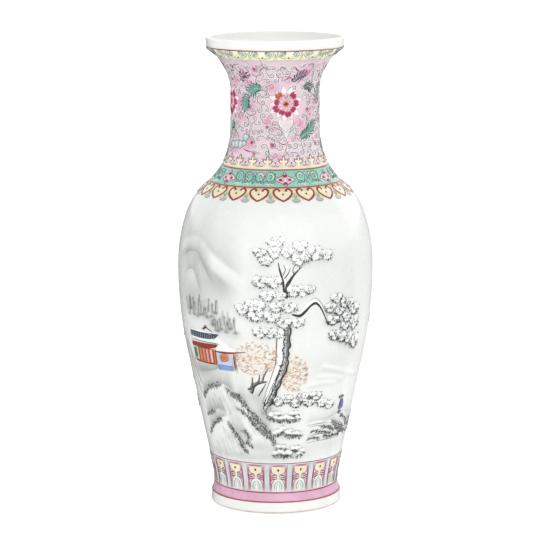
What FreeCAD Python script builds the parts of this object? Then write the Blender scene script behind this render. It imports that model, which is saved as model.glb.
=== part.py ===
"""Tall porcelain vase with a dished mouth, built the way it is made.

A foot ring, a base disc and six thrown sections of porcelain paste are luted together with slip. Glaze coats
the outside, the lip and the inside, and the recess under the foot. Enamel bands lie on the outer glaze.
Everything is turned about the Z axis. The origin is the middle of the ring that the vase stands on, +Z is
up, and all sizes are in millimetres and degrees.

The surface of the paste is one outline: a walk of straight runs and tangent arcs. It starts in the middle
of the recess under the base, goes down and round the foot, up the outside, over the lip and down the
inside, and ends in the middle of the floor. Each stop is a station with a radius, a height, the lean of the
walk there, and the bend of the run that leaves it. Lean is the angle from straight up, positive away from
the axis. Bend is the radius of an arc, positive where the walk turns away from the axis, or 0 for a straight
run. The clay is always on the left of the walk, so paste, glaze and enamel are strips along it, each
between two depths measured straight out of the clay.
"""

import FreeCAD
import Part
import Sketcher
import math
import os
from collections import namedtuple
from dataclasses import dataclass

OUT_DIR = "parts"
SHEET = "Sizes"
# Under this, a coordinate lies on an axis.
NEARLY_NOTHING = 1e-6

DRIVING = {
    # recess under the base, and the ring that the vase stands on
    "recess_depth": 9.4,
    "recess_radius": 56.0,
    "recess_corner": 3.0,
    "bare_foot": 1.8,
    "foot_round": 1.2,
    "foot_radius": 63.7,
    "foot_lean": -3.9,
    "foot_height": 10.2,
    "foot_corner": 1.6,
    "base_radius": 48.0,
    "floor_height": 16.0,
    # body, from the cove over the foot to the slope of the shoulder
    "cove_lean": -26.0,
    "cove_bend": 25.0,
    "hip_bend": 56.5,
    "flank_lean": 11.83,
    "flank_length": 119.5,
    "belly_bend": 423.0,
    "shoulder_bend": 161.3,
    "shoulder_lean": -18.4,
    "slope_bend": 60.8,
    "slope_lean": -49.4,
    "slope_length": 4.2,
    # neck and mouth
    "root_bend": 60.6,
    "root_lean": -22.0,
    "neck_bend": 85.4,
    "neck_lean": -0.6,
    "neck_length": 33.0,
    "flare_bend": 51.6,
    "flare_lean": 56.6,
    "lip_corner": 1.2,
    "lip_lean": 6.5,
    "lip_round": 1.15,
    "dish_corner": 2.5,
    "total_height": 460.0,
    # thicknesses
    "wall": 3.8,
    "slip": 0.6,
    "glaze": 0.4,
    "enamel": 0.3,
}

# Luted seams in the wall: node, height of the middle of the seam.
SEAMS = [
    ("foot_slip", 27.0),
    ("flank_slip", 112.0),
    ("belly_slip", 196.0),
    ("shoulder_slip", 288.0),
    ("neck_slip", 345.0),
    ("mouth_slip", 430.0),
]

# Thrown sections of the wall: node, the seam under it, the seam over it.
SECTIONS = [
    ("lower_body", "foot_slip", "flank_slip"),
    ("middle_body", "flank_slip", "belly_slip"),
    ("upper_body", "belly_slip", "shoulder_slip"),
    ("shoulder", "shoulder_slip", "neck_slip"),
    ("neck", "neck_slip", "mouth_slip"),
]

# Enamel bands from the foot up: node, height of its lower edge. The last entry is the top of them all.
BANDS = [
    ("foot_lower_red_line", 10.6),
    ("foot_pink_band", 11.6),
    ("foot_upper_red_line", 19.9),
    ("lappet_band", 20.9),
    ("winter_landscape", 50.7),
    ("ruyi_collar", 303.0),
    ("shoulder_red_line", 319.1),
    ("turquoise_cloud_band", 320.1),
    ("neck_red_line", 334.8),
    ("cream_trefoil_band", 335.8),
    ("rose_neck_ground", 346.4),
    ("rim_scroll_band", 441.8),
    ("rim_red_line", 449.7),
    ("band_top", 450.6),
]


@dataclass
class Station:
    """A stop on the walk along the surface of the paste."""

    name: str
    r: float
    z: float
    lean: float
    bend: float = 0.0

    def at(self, depth):
        """The radius and height at a distance straight out of the clay."""
        lean = math.radians(self.lean)
        return self.r + depth * math.cos(lean), self.z - depth * math.sin(lean)

    def along(self, name, length):
        """The station a length further on along a straight run."""
        lean = math.radians(self.lean)
        return Station(name, self.r + length * math.sin(lean), self.z + length * math.cos(lean), self.lean)

    def around(self, name, lean, bend):
        """The station where an arc of this bend reaches a lean."""
        centre_r, centre_z = self.at(bend)
        back_r, back_z = Station(name, 0.0, 0.0, lean).at(bend)
        return Station(name, centre_r - back_r, centre_z - back_z, lean)


# Growing the walk ------------------------------------------------------------------------------------


def go(walk, name, length):
    walk.append(walk[-1].along(name, length))


def go_to_radius(walk, name, radius):
    go(walk, name, (radius - walk[-1].r) / math.sin(math.radians(walk[-1].lean)))


def go_to_height(walk, name, height):
    go(walk, name, (height - walk[-1].z) / math.cos(math.radians(walk[-1].lean)))


def turn(walk, name, lean, bend):
    """Go round a tangent arc until the walk has a new lean."""
    walk[-1].bend = math.copysign(bend, lean - walk[-1].lean)
    walk.append(walk[-1].around(name, lean, walk[-1].bend))


def walk_under(size):
    """From the middle of the recess to the outer edge of the ring that the vase stands on."""
    walk = [Station("recess_middle", 0.0, size["recess_depth"], 90.0)]
    go_to_radius(walk, "base_low", size["base_radius"])
    go_to_radius(walk, "ring_low", size["base_radius"] + size["slip"])
    go_to_radius(walk, "recess_edge", size["recess_radius"] - size["recess_corner"])
    turn(walk, "recess_side", 180.0, size["recess_corner"])
    go_to_height(walk, "recess_glaze_end", size["bare_foot"])
    go_to_height(walk, "rest_side", size["foot_round"])
    turn(walk, "rest_inner", 90.0, size["foot_round"])
    go_to_radius(walk, "rest_outer", size["foot_radius"] - size["foot_round"])
    return walk


def walk_outside(walk, size):
    """From the ring that the vase stands on to the top of the lip."""
    turn(walk, "foot_low", size["foot_lean"], size["foot_round"])
    go_to_height(walk, "glaze_end", size["bare_foot"])
    go_to_height(walk, "foot_high", size["foot_height"])
    turn(walk, "cove", size["cove_lean"], size["foot_corner"])
    turn(walk, "waist", 0.0, size["cove_bend"])
    turn(walk, "flank_low", size["flank_lean"], size["hip_bend"])
    go(walk, "flank_high", size["flank_length"])
    turn(walk, "belly", 0.0, size["belly_bend"])
    turn(walk, "shoulder_high", size["shoulder_lean"], size["shoulder_bend"])
    turn(walk, "slope_high", size["slope_lean"], size["slope_bend"])
    go(walk, "slope_low", size["slope_length"])
    turn(walk, "root", size["root_lean"], size["root_bend"])
    turn(walk, "neck_low", size["neck_lean"], size["neck_bend"])
    go(walk, "neck_high", size["neck_length"])
    turn(walk, "flare", size["flare_lean"], size["flare_bend"])
    turn(walk, "lip_low", size["lip_lean"], size["lip_corner"])
    paste_top = size["total_height"] - size["glaze"]
    round_height = size["lip_round"] * (1 + math.sin(math.radians(size["lip_lean"])))
    go_to_height(walk, "lip_high", paste_top - round_height)
    turn(walk, "lip_top", -90.0, size["lip_round"])


def places(walk):
    return {station.name: place for place, station in enumerate(walk)}


def cut_outside(walk, name, height):
    """Put a new station on the outside of the walk at a height."""
    place = places(walk)["foot_low"]
    while walk[place + 1].z <= height:
        place += 1
    before = walk[place]
    if before.bend:
        after = walk[place + 1]
        sine = math.sin(math.radians(before.lean)) + (height - before.z) / before.bend
        station = before.around(name, math.degrees(math.asin(sine)), before.bend)
        station.bend = before.bend
        assert min(before.lean, after.lean) <= station.lean <= max(before.lean, after.lean)
    else:
        station = before.along(name, (height - before.z) / math.cos(math.radians(before.lean)))
    walk.insert(place + 1, station)


def walk_inside(walk, size):
    """From the top of the lip down to the middle of the floor, one wall in from the outside."""
    place = places(walk)
    outside = walk[place["waist"]:place["flare"] + 1]
    neck_high = walk[place["neck_high"]]

    turn(walk, "lip_inner", size["lip_lean"] - 180.0, size["lip_round"])
    lip_inner = walk[-1]
    # The dish corner rolls between the inner face of the lip and the inner face of the flare.
    flare_r, flare_z = neck_high.at(neck_high.bend)
    roll = neck_high.bend + size["wall"] + size["dish_corner"]
    start_r, start_z = lip_inner.at(size["dish_corner"])
    lean = math.radians(lip_inner.lean)
    ahead = (flare_r - start_r) * math.sin(lean) + (flare_z - start_z) * math.cos(lean)
    gap = (start_r - flare_r) ** 2 + (start_z - flare_z) ** 2 - ahead ** 2
    go(walk, "dish_high", ahead - math.sqrt(roll ** 2 - gap))
    centre_r, centre_z = walk[-1].at(size["dish_corner"])
    dish_lean = -math.degrees(math.atan2(centre_z - flare_z, centre_r - flare_r))
    turn(walk, "flare_in", dish_lean, size["dish_corner"])

    for before, after in reversed(list(zip(outside, outside[1:]))):
        if before.bend:
            walk[-1].bend = -(before.bend + size["wall"])
        r, z = before.at(-size["wall"])
        walk.append(Station(before.name + "_in", r, z, before.lean - 180.0))
    turn(walk, "floor_edge", -90.0, walk[-1].z - size["floor_height"])
    go_to_radius(walk, "ring_high", size["base_radius"] + size["slip"])
    go_to_radius(walk, "base_high", size["base_radius"])
    go_to_radius(walk, "floor_middle", 0.0)


def paste_walk(size):
    """The whole outline of the paste, with a station on both sides of each luted seam."""
    walk = walk_under(size)
    walk_outside(walk, size)
    for node, height in SEAMS:
        cut_outside(walk, node + "_low", height - size["slip"] / 2)
        cut_outside(walk, node + "_high", height + size["slip"] / 2)
    walk_inside(walk, size)
    return walk


# Outlines of the pieces ------------------------------------------------------------------------------

# A corner of a piece's outline: its station, its depth, and the station whose bend its next edge has.
Corner = namedtuple("Corner", "station depth arc")


def span(walk, first, last):
    place = places(walk)
    return walk[place[first]:place[last] + 1]


def forward(stations, depth="paste"):
    """Corners along the walk, with the last one joined straight to whatever comes next."""
    arcs = [station if station.bend else None for station in stations[:-1]] + [None]
    return [Corner(station, depth, arc) for station, arc in zip(stations, arcs)]


def backward(stations, depth="paste"):
    """Corners back along the walk, with the last one joined straight to whatever comes next."""
    arcs = [station if station.bend else None for station in stations[:-1]]
    return [
        Corner(station, depth, arc)
        for station, arc in zip(reversed(stations), list(reversed(arcs)) + [None])
    ]


def coat(stations, inner, outer):
    """The outline of a coat between two depths."""
    return forward(stations, outer) + backward(stations, inner)


def section(walk, low, high):
    """The outline of a piece of the wall between two stations on the outside."""
    return forward(span(walk, low, high)) + forward(span(walk, high + "_in", low + "_in"))


def outlines(walk, painted):
    """Every piece's outline, by node, from the foot up and from the paste out."""
    pieces = {
        "base_disc": forward(span(walk, "recess_middle", "base_low"))
        + forward(span(walk, "base_high", "floor_middle")),
        "base_slip": forward(span(walk, "base_low", "ring_low"))
        + forward(span(walk, "ring_high", "base_high")),
        "foot_ring": forward(span(walk, "ring_low", "foot_slip_low"))
        + forward(span(walk, "foot_slip_low_in", "ring_high")),
    }
    for node, under, over in SECTIONS:
        pieces[node] = section(walk, under + "_high", over + "_low")
    pieces["mouth_rim"] = forward(span(walk, "mouth_slip_high", "mouth_slip_high_in"))
    for node, height in SEAMS:
        pieces[node] = section(walk, node + "_low", node + "_high")
    pieces["base_glaze"] = coat(span(walk, "recess_middle", "recess_glaze_end"), "paste", "glazed")
    pieces["clear_glaze"] = coat(span(walk, "glaze_end", "floor_middle"), "paste", "glazed")
    for (node, low), (above, high) in zip(BANDS, BANDS[1:]):
        pieces[node] = coat(span(painted, node + "_edge", above + "_edge"), "glazed", "enamelled")
    return pieces


# The document ----------------------------------------------------------------------------------------


def make_sheet(doc, size, walk):
    """A spreadsheet of the driving sizes, and under them the stations that they give."""
    sheet = doc.addObject("Spreadsheet::Sheet", SHEET)
    cells = dict(size)
    for station in walk:
        cells[station.name + "_r"] = station.r
        cells[station.name + "_z"] = station.z
        cells[station.name + "_lean"] = station.lean
        if station.bend:
            cells[station.name + "_bend"] = station.bend
    for row, (alias, value) in enumerate(cells.items(), 1):
        sheet.set(f"A{row}", alias)
        sheet.set(f"B{row}", f"{value:.9f}")
        sheet.setAlias(f"B{row}", alias)
    doc.recompute()
    return sheet


def depth_value(size, depth):
    return {"paste": 0.0, "glazed": size["glaze"], "enamelled": size["glaze"] + size["enamel"]}[depth]


DEPTH_CELLS = {
    "paste": "0",
    "glazed": f"{SHEET}.glaze",
    "enamelled": f"({SHEET}.glaze + {SHEET}.enamel)",
}


def edge_between(corner, after, size):
    """The line or arc that leaves a corner."""
    depth = depth_value(size, corner.depth)
    start_r, start_z = corner.station.at(depth)
    end_r, end_z = after.station.at(depth_value(size, after.depth))
    start, end = FreeCAD.Vector(start_r, start_z, 0), FreeCAD.Vector(end_r, end_z, 0)
    if corner.arc is None:
        return Part.LineSegment(start, end)
    lean = (corner.station.lean + after.station.lean) / 2
    middle_r, middle_z = corner.arc.around("middle", lean, corner.arc.bend).at(depth)
    return Part.Arc(start, FreeCAD.Vector(middle_r, middle_z, 0), end)


def nearest_end(sketch, edge, corner, size):
    """Which end of an edge lies at a corner: 1 for its start, 2 for its end."""
    r, z = corner.station.at(depth_value(size, corner.depth))
    there = FreeCAD.Vector(r, z, 0)
    return min((1, 2), key=lambda end: sketch.getPoint(edge, end).distanceToPoint(there))


def draw_outline(sketch, corners, size):
    """Draw a closed outline whose every size comes from the sheet."""
    curves = [edge_between(corner, after, size) for corner, after in zip(corners, corners[1:] + corners[:1])]
    edges = sketch.addGeometry(curves)
    origin, across, upright = -1, -1, -2
    constraints, expressions = [], {}
    for place, corner in enumerate(corners):
        edge, before = edges[place], edges[place - 1]
        end = nearest_end(sketch, edge, corner, size)
        before_end = nearest_end(sketch, before, corner, size)
        constraints.append(Sketcher.Constraint("Coincident", before, before_end, edge, end))
        name, depth = f"{SHEET}.{corner.station.name}", DEPTH_CELLS[corner.depth]
        r, z = corner.station.at(depth_value(size, corner.depth))
        if abs(r) < NEARLY_NOTHING:
            constraints.append(Sketcher.Constraint("PointOnObject", edge, end, upright))
        else:
            expressions[len(constraints)] = f"{name}_r + {depth} * cos({name}_lean)"
            constraints.append(Sketcher.Constraint("DistanceX", origin, 1, edge, end, r))
        if abs(z) < NEARLY_NOTHING:
            constraints.append(Sketcher.Constraint("PointOnObject", edge, end, across))
        else:
            expressions[len(constraints)] = f"{name}_z - {depth} * sin({name}_lean)"
            constraints.append(Sketcher.Constraint("DistanceY", origin, 1, edge, end, z))
        if corner.arc is not None:
            radius = abs(corner.arc.bend - depth_value(size, corner.depth))
            expressions[len(constraints)] = f"abs({SHEET}.{corner.arc.name}_bend - {depth})"
            constraints.append(Sketcher.Constraint("Radius", edge, radius))
    sketch.addConstraint(constraints)
    for index, expression in expressions.items():
        sketch.setExpression(f"Constraints[{index}]", expression)


def turned_body(doc, node, corners, size):
    """A body turned about the Z axis from one outline."""
    body = doc.addObject("PartDesign::Body", node)
    body.Label = node
    body.Placement = FreeCAD.Placement()
    sketch = body.newObject("Sketcher::SketchObject", node + "_outline")
    plane = next(plane for plane in body.Origin.OriginFeatures if plane.Role == "XZ_Plane")
    sketch.AttachmentSupport = [(plane, "")]
    sketch.MapMode = "FlatFace"
    draw_outline(sketch, corners, size)
    turned = body.newObject("PartDesign::Revolution", node + "_turned")
    turned.Profile = sketch
    turned.ReferenceAxis = (sketch, ["V_Axis"])
    turned.Angle = 360.0
    body.Tip = turned
    return body


def check(doc, bodies):
    """Stop if any object failed or any body has no sound solid."""
    for item in doc.Objects:
        if "Invalid" in item.State or "Error" in item.State:
            raise RuntimeError(f"{item.Name} failed: {item.State}")
    for body in bodies:
        shape = body.Shape
        if shape.isNull() or not shape.isValid() or len(shape.Solids) != 1:
            raise RuntimeError(f"{body.Label} is not one valid solid")


def main():
    size = dict(DRIVING)
    walk = paste_walk(size)
    painted = list(walk)
    for node, height in BANDS:
        cut_outside(painted, node + "_edge", height)

    doc = FreeCAD.newDocument("Vase")
    make_sheet(doc, size, painted)
    bodies = [turned_body(doc, node, corners, size) for node, corners in outlines(walk, painted).items()]
    doc.recompute()
    check(doc, bodies)

    os.makedirs(OUT_DIR, exist_ok=True)
    for body in bodies:
        body.Shape.exportStep(os.path.join(OUT_DIR, body.Label + ".step"))
    for body in bodies:
        box = body.Shape.BoundBox
        print(f"{body.Label:22s} volume {body.Shape.Volume / 1000:8.2f} cm3  z {box.ZMin:7.2f} {box.ZMax:7.2f}")


main()
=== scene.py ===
"""Looks of the tall porcelain vase: glaze, enamel bands and the painted winter landscape.

The painting is laid out on the vase's own skin. A place on it is an angle in degrees, 0 at the front (-Y)
and positive towards +X, and a height in millimetres, and lift is how far the enamel stands off the paste.
Every motif is thin raised enamel in real geometry, gathered by colour, and the soft washes are colours
worked out for each vertex of the ground that they lie on.
"""
import math
import random

import bpy
import numpy as np
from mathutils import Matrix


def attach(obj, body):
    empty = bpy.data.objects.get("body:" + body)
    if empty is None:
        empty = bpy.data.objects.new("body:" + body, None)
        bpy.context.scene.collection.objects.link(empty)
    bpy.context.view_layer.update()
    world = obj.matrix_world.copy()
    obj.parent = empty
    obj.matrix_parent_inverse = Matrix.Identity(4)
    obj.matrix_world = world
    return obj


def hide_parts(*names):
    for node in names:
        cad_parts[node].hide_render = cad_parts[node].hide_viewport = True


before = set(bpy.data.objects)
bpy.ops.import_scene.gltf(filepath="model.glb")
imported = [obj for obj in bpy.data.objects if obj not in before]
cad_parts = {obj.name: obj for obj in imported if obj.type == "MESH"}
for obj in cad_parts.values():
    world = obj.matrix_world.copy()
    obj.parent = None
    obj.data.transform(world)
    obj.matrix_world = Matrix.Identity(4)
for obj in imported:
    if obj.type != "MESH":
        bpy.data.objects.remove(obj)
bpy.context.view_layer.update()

MM = 0.001
TURN = 360.0
HALF_TURN = 180.0

# How far each layer stands off the paste, and how deep an edge is sunk, in millimetres.
GLAZE = 0.40
ENAMEL = 0.70
FILL = 0.78
DETAIL = 0.86
LINE = 0.94
TOP = 1.02
SINK = 0.10

# How finely the enamel is drawn.
TAPER = 0.25
TICK_BULGE = 0.1
TICK_POINT = 0.15
BLOB_RINGS = (0.4, 0.75, 0.92, 1.0)
BLOB_STEP = 1.5
STRIP_STEP = 1.5
ROW_STEP = 2.5
TURNED_COLUMNS = 288

# The lip and the inside, in millimetres and degrees.
LIP_TOP = 458.32
LIP_ROUND = 1.15
LIP_LEAN = 6.5
DISH_ROOT = 447.5
LIP_INNER = 4.2
WAIST = 21.75
FLOOR = 16.0

# The foot ring and the recess under it, in millimetres.
FOOT_INNER = 56.0
FOOT_OUTER = 63.7
FOOT_ROUND = 1.2
RECESS_ROOF = 9.0
RECESS_ROUND = 2.6


# The skin of the paste ---------------------------------------------------------------------------------


class Skin:
    """The outside of the paste, grown from the foot up in straight runs and tangent arcs."""

    STEP = 0.25

    def __init__(self, r, z, lean):
        self.r, self.z, self.lean = [r], [z], [math.radians(lean)]

    def go(self, length):
        count = max(2, int(length / self.STEP))
        lean = self.lean[-1]
        r, z = self.r[-1], self.z[-1]
        for k in range(1, count + 1):
            self.r.append(r + length * k / count * math.sin(lean))
            self.z.append(z + length * k / count * math.cos(lean))
            self.lean.append(lean)

    def go_to_height(self, height):
        self.go((height - self.z[-1]) / math.cos(self.lean[-1]))

    def turn(self, lean, bend):
        start, end = self.lean[-1], math.radians(lean)
        bend = math.copysign(bend, end - start)
        count = max(6, int(abs(bend * (end - start)) / self.STEP))
        r, z = self.r[-1], self.z[-1]
        for k in range(1, count + 1):
            now = start + (end - start) * k / count
            self.r.append(r - bend * (math.cos(now) - math.cos(start)))
            self.z.append(z + bend * (math.sin(now) - math.sin(start)))
            self.lean.append(now)

    def arrays(self):
        return np.array(self.r), np.array(self.z), np.array(self.lean)


FOOT_RADIUS = 63.66
FOOT_LEAN = -3.9
GROUND = 1.8
WALL = 3.8


def outside_skin():
    """The outline of the vase, with leans in degrees, and bends and lengths in millimetres."""
    skin = Skin(FOOT_RADIUS, GROUND, FOOT_LEAN)
    skin.go_to_height(10.2)     # side of the foot
    skin.turn(-26.0, 1.6)       # rounded edge over the foot
    skin.turn(0.0, 25.0)        # waist over the foot
    skin.turn(11.83, 56.5)      # spread of the lower body
    skin.go(119.5)              # straight flank
    skin.turn(0.0, 423.0)       # belly up to its widest
    skin.turn(-18.4, 161.3)     # belly above its widest
    skin.turn(-49.4, 60.8)      # round of the shoulder
    skin.go(4.2)                # slope of the shoulder
    skin.turn(-22.0, 60.6)      # hollow at the root of the neck
    skin.turn(-0.6, 85.4)       # root of the neck
    skin.go(33.0)               # straight neck
    skin.turn(56.6, 51.6)       # flare
    skin.turn(LIP_LEAN, 1.2)    # corner under the lip
    skin.go_to_height(LIP_TOP)  # lip
    return skin.arrays()


SKIN_R, SKIN_Z, SKIN_LEAN = outside_skin()


def radius(z):
    """The radius of the paste at a height."""
    return np.interp(z, SKIN_Z, SKIN_R)


def lean_at(z):
    """How far the skin leans out at a height, in radians."""
    return np.interp(z, SKIN_Z, SKIN_LEAN)


def degree(z):
    """The length of one degree round the vase at a height, in millimetres."""
    return radius(z) * math.pi / 180.0


def place(angle, z, lift):
    """Points in metres from angles in degrees, heights and lifts in millimetres."""
    turned = np.radians(angle)
    lean = lean_at(z)
    r = radius(z) + lift * np.cos(lean)
    up = z - lift * np.sin(lean)
    return np.stack([r * np.sin(turned), -r * np.cos(turned), up + np.zeros_like(r)], axis=-1) * MM


# Meshes -------------------------------------------------------------------------------------------------


def smooth_curve(points, closed=False, step=1.2):
    """A Catmull-Rom curve through given points, with a place for each along the points' order."""
    p = np.asarray(points, float)
    if len(p) == 2 and not closed:
        p = np.array([p[0], (p[0] + p[1]) / 2, p[1]])
    if closed:
        padded = np.vstack([p[-1], p, p[0], p[1]])
        spans = len(p)
    else:
        padded = np.vstack([2 * p[0] - p[1], p, 2 * p[-1] - p[-2]])
        spans = len(p) - 1
    out = []
    where = []
    for k in range(spans):
        a, b, c, d = padded[k:k + 4]
        scale = degree(b[1])
        length = math.hypot((c[0] - b[0]) * scale, c[1] - b[1])
        count = max(2, int(math.ceil(length / step)))
        t = np.linspace(0, 1, count, endpoint=False)[:, None]
        out.append(0.5 * (2 * b + (c - a) * t + (2 * a - 5 * b + 4 * c - d) * t * t
                          + (3 * b - a - 3 * c + d) * t * t * t))
        where.append(k + t[:, 0])
    if not closed:
        out.append(p[-1:])
        where.append(np.array([float(spans)]))
    return np.vstack(out), np.concatenate(where) * (len(points) - 1) / max(spans, 1)


def straight_curve(points):
    """A closed outline with straight sides, cut into short steps so that it can bend round the vase."""
    out = []
    for (a0, z0), (a1, z1) in zip(points, list(points[1:]) + [points[0]]):
        length = math.hypot((a1 - a0) * degree(z0), z1 - z0)
        for share in np.linspace(0, 1, max(1, math.ceil(length / BLOB_STEP)), endpoint=False):
            out.append((a0 + (a1 - a0) * share, z0 + (z1 - z0) * share))
    return np.array(out)


def row_shares(tall, rows, margin):
    """Where the rows of a sheet lie, from 0 to 1, with an extra row close to each edge."""
    if rows is None:
        rows = max(2, int(tall / ROW_STEP) + 1)
    return np.concatenate([[0.0, margin], np.linspace(0, 1, rows + 1)[1:-1], [1.0 - margin, 1.0]])


def sunk_edges(shape, lift):
    """The lifts of a sheet whose first and last rows are sunk."""
    lifts = np.full(shape, lift)
    lifts[[0, -1]] -= SINK
    return lifts


class Enamel:
    """One piece of the painting: meshes that share a material, gathered as they are drawn."""

    def __init__(self, name):
        self.name = name
        self.points, self.quads, self.fans, self.tints = [], [], [], []
        self.count = 0

    def grid(self, points, closed=False, tint=None):
        """A sheet of quads over rows and columns of points."""
        rows, columns = points.shape[:2]
        index = self.count + np.arange(rows * columns).reshape(rows, columns)
        right = np.roll(index, -1, axis=1) if closed else index[:, 1:]
        left = index if closed else index[:, :-1]
        quads = np.stack([left[:-1], right[:-1], right[1:], left[1:]], axis=-1).reshape(-1, 4)
        self.points.append(points.reshape(-1, 3))
        self.quads.append(quads)
        self.count += rows * columns
        if tint is not None:
            self.tints.append(np.broadcast_to(tint, (rows, columns, 3)).reshape(-1, 3))

    def stroke(self, points, width, lift=LINE, bulge=0.12, closed=False):
        """A brush stroke through given places. width is in millimetres, one or one for each place."""
        path, where = smooth_curve(points, closed)
        widths = np.atleast_1d(np.asarray(width, float))
        if len(widths) == 1:
            wide = np.full(len(path), widths[0])
        else:
            wide = np.interp(where, np.linspace(0, where[-1], len(widths)), widths)
        if not closed and len(widths) == 1:
            along = np.linspace(0, 1, len(path))
            wide = wide * np.clip(TAPER + (1 - TAPER) * np.minimum(along, 1 - along) * 5, 0, 1)
        if closed:
            path = np.vstack([path, path[:1]])
            wide = np.append(wide, wide[0])
        scale = degree(path[:, 1])
        upright = np.cos(lean_at(path[:, 1]))
        across = np.gradient(path[:, 0]) * scale
        along = np.gradient(path[:, 1]) / upright
        length = np.maximum(np.hypot(across, along), 1e-9)
        side_a, side_z = -along / length, across / length
        rows = []
        for share, height in ((-0.5, -SINK), (0.0, bulge), (0.5, -SINK)):
            angle = path[:, 0] + side_a * wide * share / scale
            z = path[:, 1] + side_z * wide * share * upright
            rows.append(place(angle, z, lift + height))
        self.grid(np.stack(rows))

    def blob(self, outline, lift, bulge, smooth=True):
        """A filled shape round its middle, raised in the middle and sunk at its edge."""
        edge = smooth_curve(outline, True, BLOB_STEP)[0] if smooth else straight_curve(outline)
        following = np.roll(edge, -1, axis=0)
        if (edge[:, 0] * following[:, 1] - following[:, 0] * edge[:, 1]).sum() > 0:
            edge = edge[::-1]
        middle = edge.mean(axis=0)
        rows = []
        for share in BLOB_RINGS:
            ring = middle + (edge - middle) * share
            height = bulge * (1 - share ** 2) - (SINK if share == 1.0 else 0.0)
            rows.append(place(ring[:, 0], ring[:, 1], lift + height))
        first = self.count + np.arange(len(edge))
        self.grid(np.stack(rows), closed=True)
        hub = np.full(len(edge), self.count)
        self.points.append(place(middle[:1], middle[1:], lift + bulge))
        self.fans.append(np.stack([hub, np.roll(first, -1), first], axis=-1))
        self.count += 1

    def ticks(self, angle, z, length, width, tilt, lift):
        """Many short dabs at once. tilt is in degrees from straight up, positive to the right."""
        angle, z, length, width, tilt = np.broadcast_arrays(*np.atleast_1d(angle, z, length, width, tilt))
        tilt = np.radians(tilt)
        scale = degree(z)
        upright = np.cos(lean_at(z))
        points = []
        for side, height in ((-0.5, -SINK), (0.0, TICK_BULGE), (0.5, -SINK)):
            row = []
            for along, share in ((-0.5, TICK_POINT), (0.0, 1.0), (0.5, TICK_POINT)):
                across_mm = side * width * share * -np.cos(tilt) + along * length * np.sin(tilt)
                up_mm = side * width * share * np.sin(tilt) + along * length * np.cos(tilt)
                row.append(place(angle + across_mm / scale, z + up_mm * upright, lift + height))
            points.append(np.stack(row, axis=1))
        grid = np.stack(points, axis=1)
        count = len(grid)
        index = self.count + np.arange(count * 9).reshape(count, 3, 3)
        lower, upper = index[:, :-1], index[:, 1:]
        quads = np.stack([lower[..., :-1], lower[..., 1:], upper[..., 1:], upper[..., :-1]], axis=-1)
        self.points.append(grid.reshape(-1, 3))
        self.quads.append(quads.reshape(-1, 4))
        self.count += count * 9

    def strip(self, low, high, lift, rows=None):
        """A sheet between two curves of places with as many points each, sunk along all its edges."""
        low, high = np.asarray(low, float), np.asarray(high, float)
        spans = np.maximum(1, np.ceil(np.abs(np.diff(low[:, 0])) / STRIP_STEP)).astype(int)
        where = np.concatenate([k + np.arange(n) / n for k, n in enumerate(spans)] + [[len(spans)]])
        known = np.arange(len(low))
        low = np.stack([np.interp(where, known, low[:, axis]) for axis in (0, 1)], axis=1)
        high = np.stack([np.interp(where, known, high[:, axis]) for axis in (0, 1)], axis=1)
        share = row_shares(np.abs(high[:, 1] - low[:, 1]).max(), rows, 0.02)
        grid = low[None] + (high - low)[None] * share[:, None, None]
        self.grid(place(grid[..., 0], grid[..., 1], sunk_edges(grid.shape[:2], lift)))

    def ring(self, low, high, lift, columns=240, rows=None):
        """A band right round the vase between two heights, or two functions of the angle."""
        angle = np.linspace(0, TURN, columns, endpoint=False)
        low = low(angle) if callable(low) else np.full(columns, float(low))
        high = high(angle) if callable(high) else np.full(columns, float(high))
        z = low[None] + (high - low)[None] * row_shares((high - low).max(), rows, 0.01)[:, None]
        self.grid(place(np.broadcast_to(angle, z.shape), z, sunk_edges(z.shape, lift)), closed=True)

    def build(self, material, slot, nodes):
        """Makes the Blender object, in place of the CAD nodes that it stands for."""
        mesh = bpy.data.meshes.new(self.name)
        points = np.vstack(self.points)
        quads = np.vstack(self.quads)
        fans = np.vstack(self.fans) if self.fans else np.empty((0, 3), int)
        mesh.vertices.add(len(points))
        mesh.vertices.foreach_set("co", points.ravel())
        mesh.loops.add(quads.size + fans.size)
        mesh.loops.foreach_set("vertex_index", np.concatenate([quads.ravel(), fans.ravel()]))
        mesh.polygons.add(len(quads) + len(fans))
        starts = np.concatenate([np.arange(0, quads.size, 4), quads.size + np.arange(0, fans.size, 3)])
        mesh.polygons.foreach_set("loop_start", starts)
        mesh.polygons.foreach_set("use_smooth", np.ones(len(starts), bool))
        mesh.update(calc_edges=True)
        mesh.validate()
        if self.tints:
            layer = mesh.color_attributes.new("wash", "FLOAT_COLOR", "POINT")
            tints = np.vstack(self.tints)
            layer.data.foreach_set("color", np.hstack([tints, np.ones((len(tints), 1))]).ravel())
        mesh.materials.append(material)
        piece = bpy.data.objects.new(self.name, mesh)
        bpy.context.collection.objects.link(piece)
        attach(piece, "root")
        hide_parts(*nodes)


# Materials ----------------------------------------------------------------------------------------------


def linear(colour):
    """A display colour of 0 to 255 as linear light."""
    shares = np.asarray(colour, float) / 255.0
    return np.where(shares <= 0.04045, shares / 12.92, ((shares + 0.055) / 1.055) ** 2.4)


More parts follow.
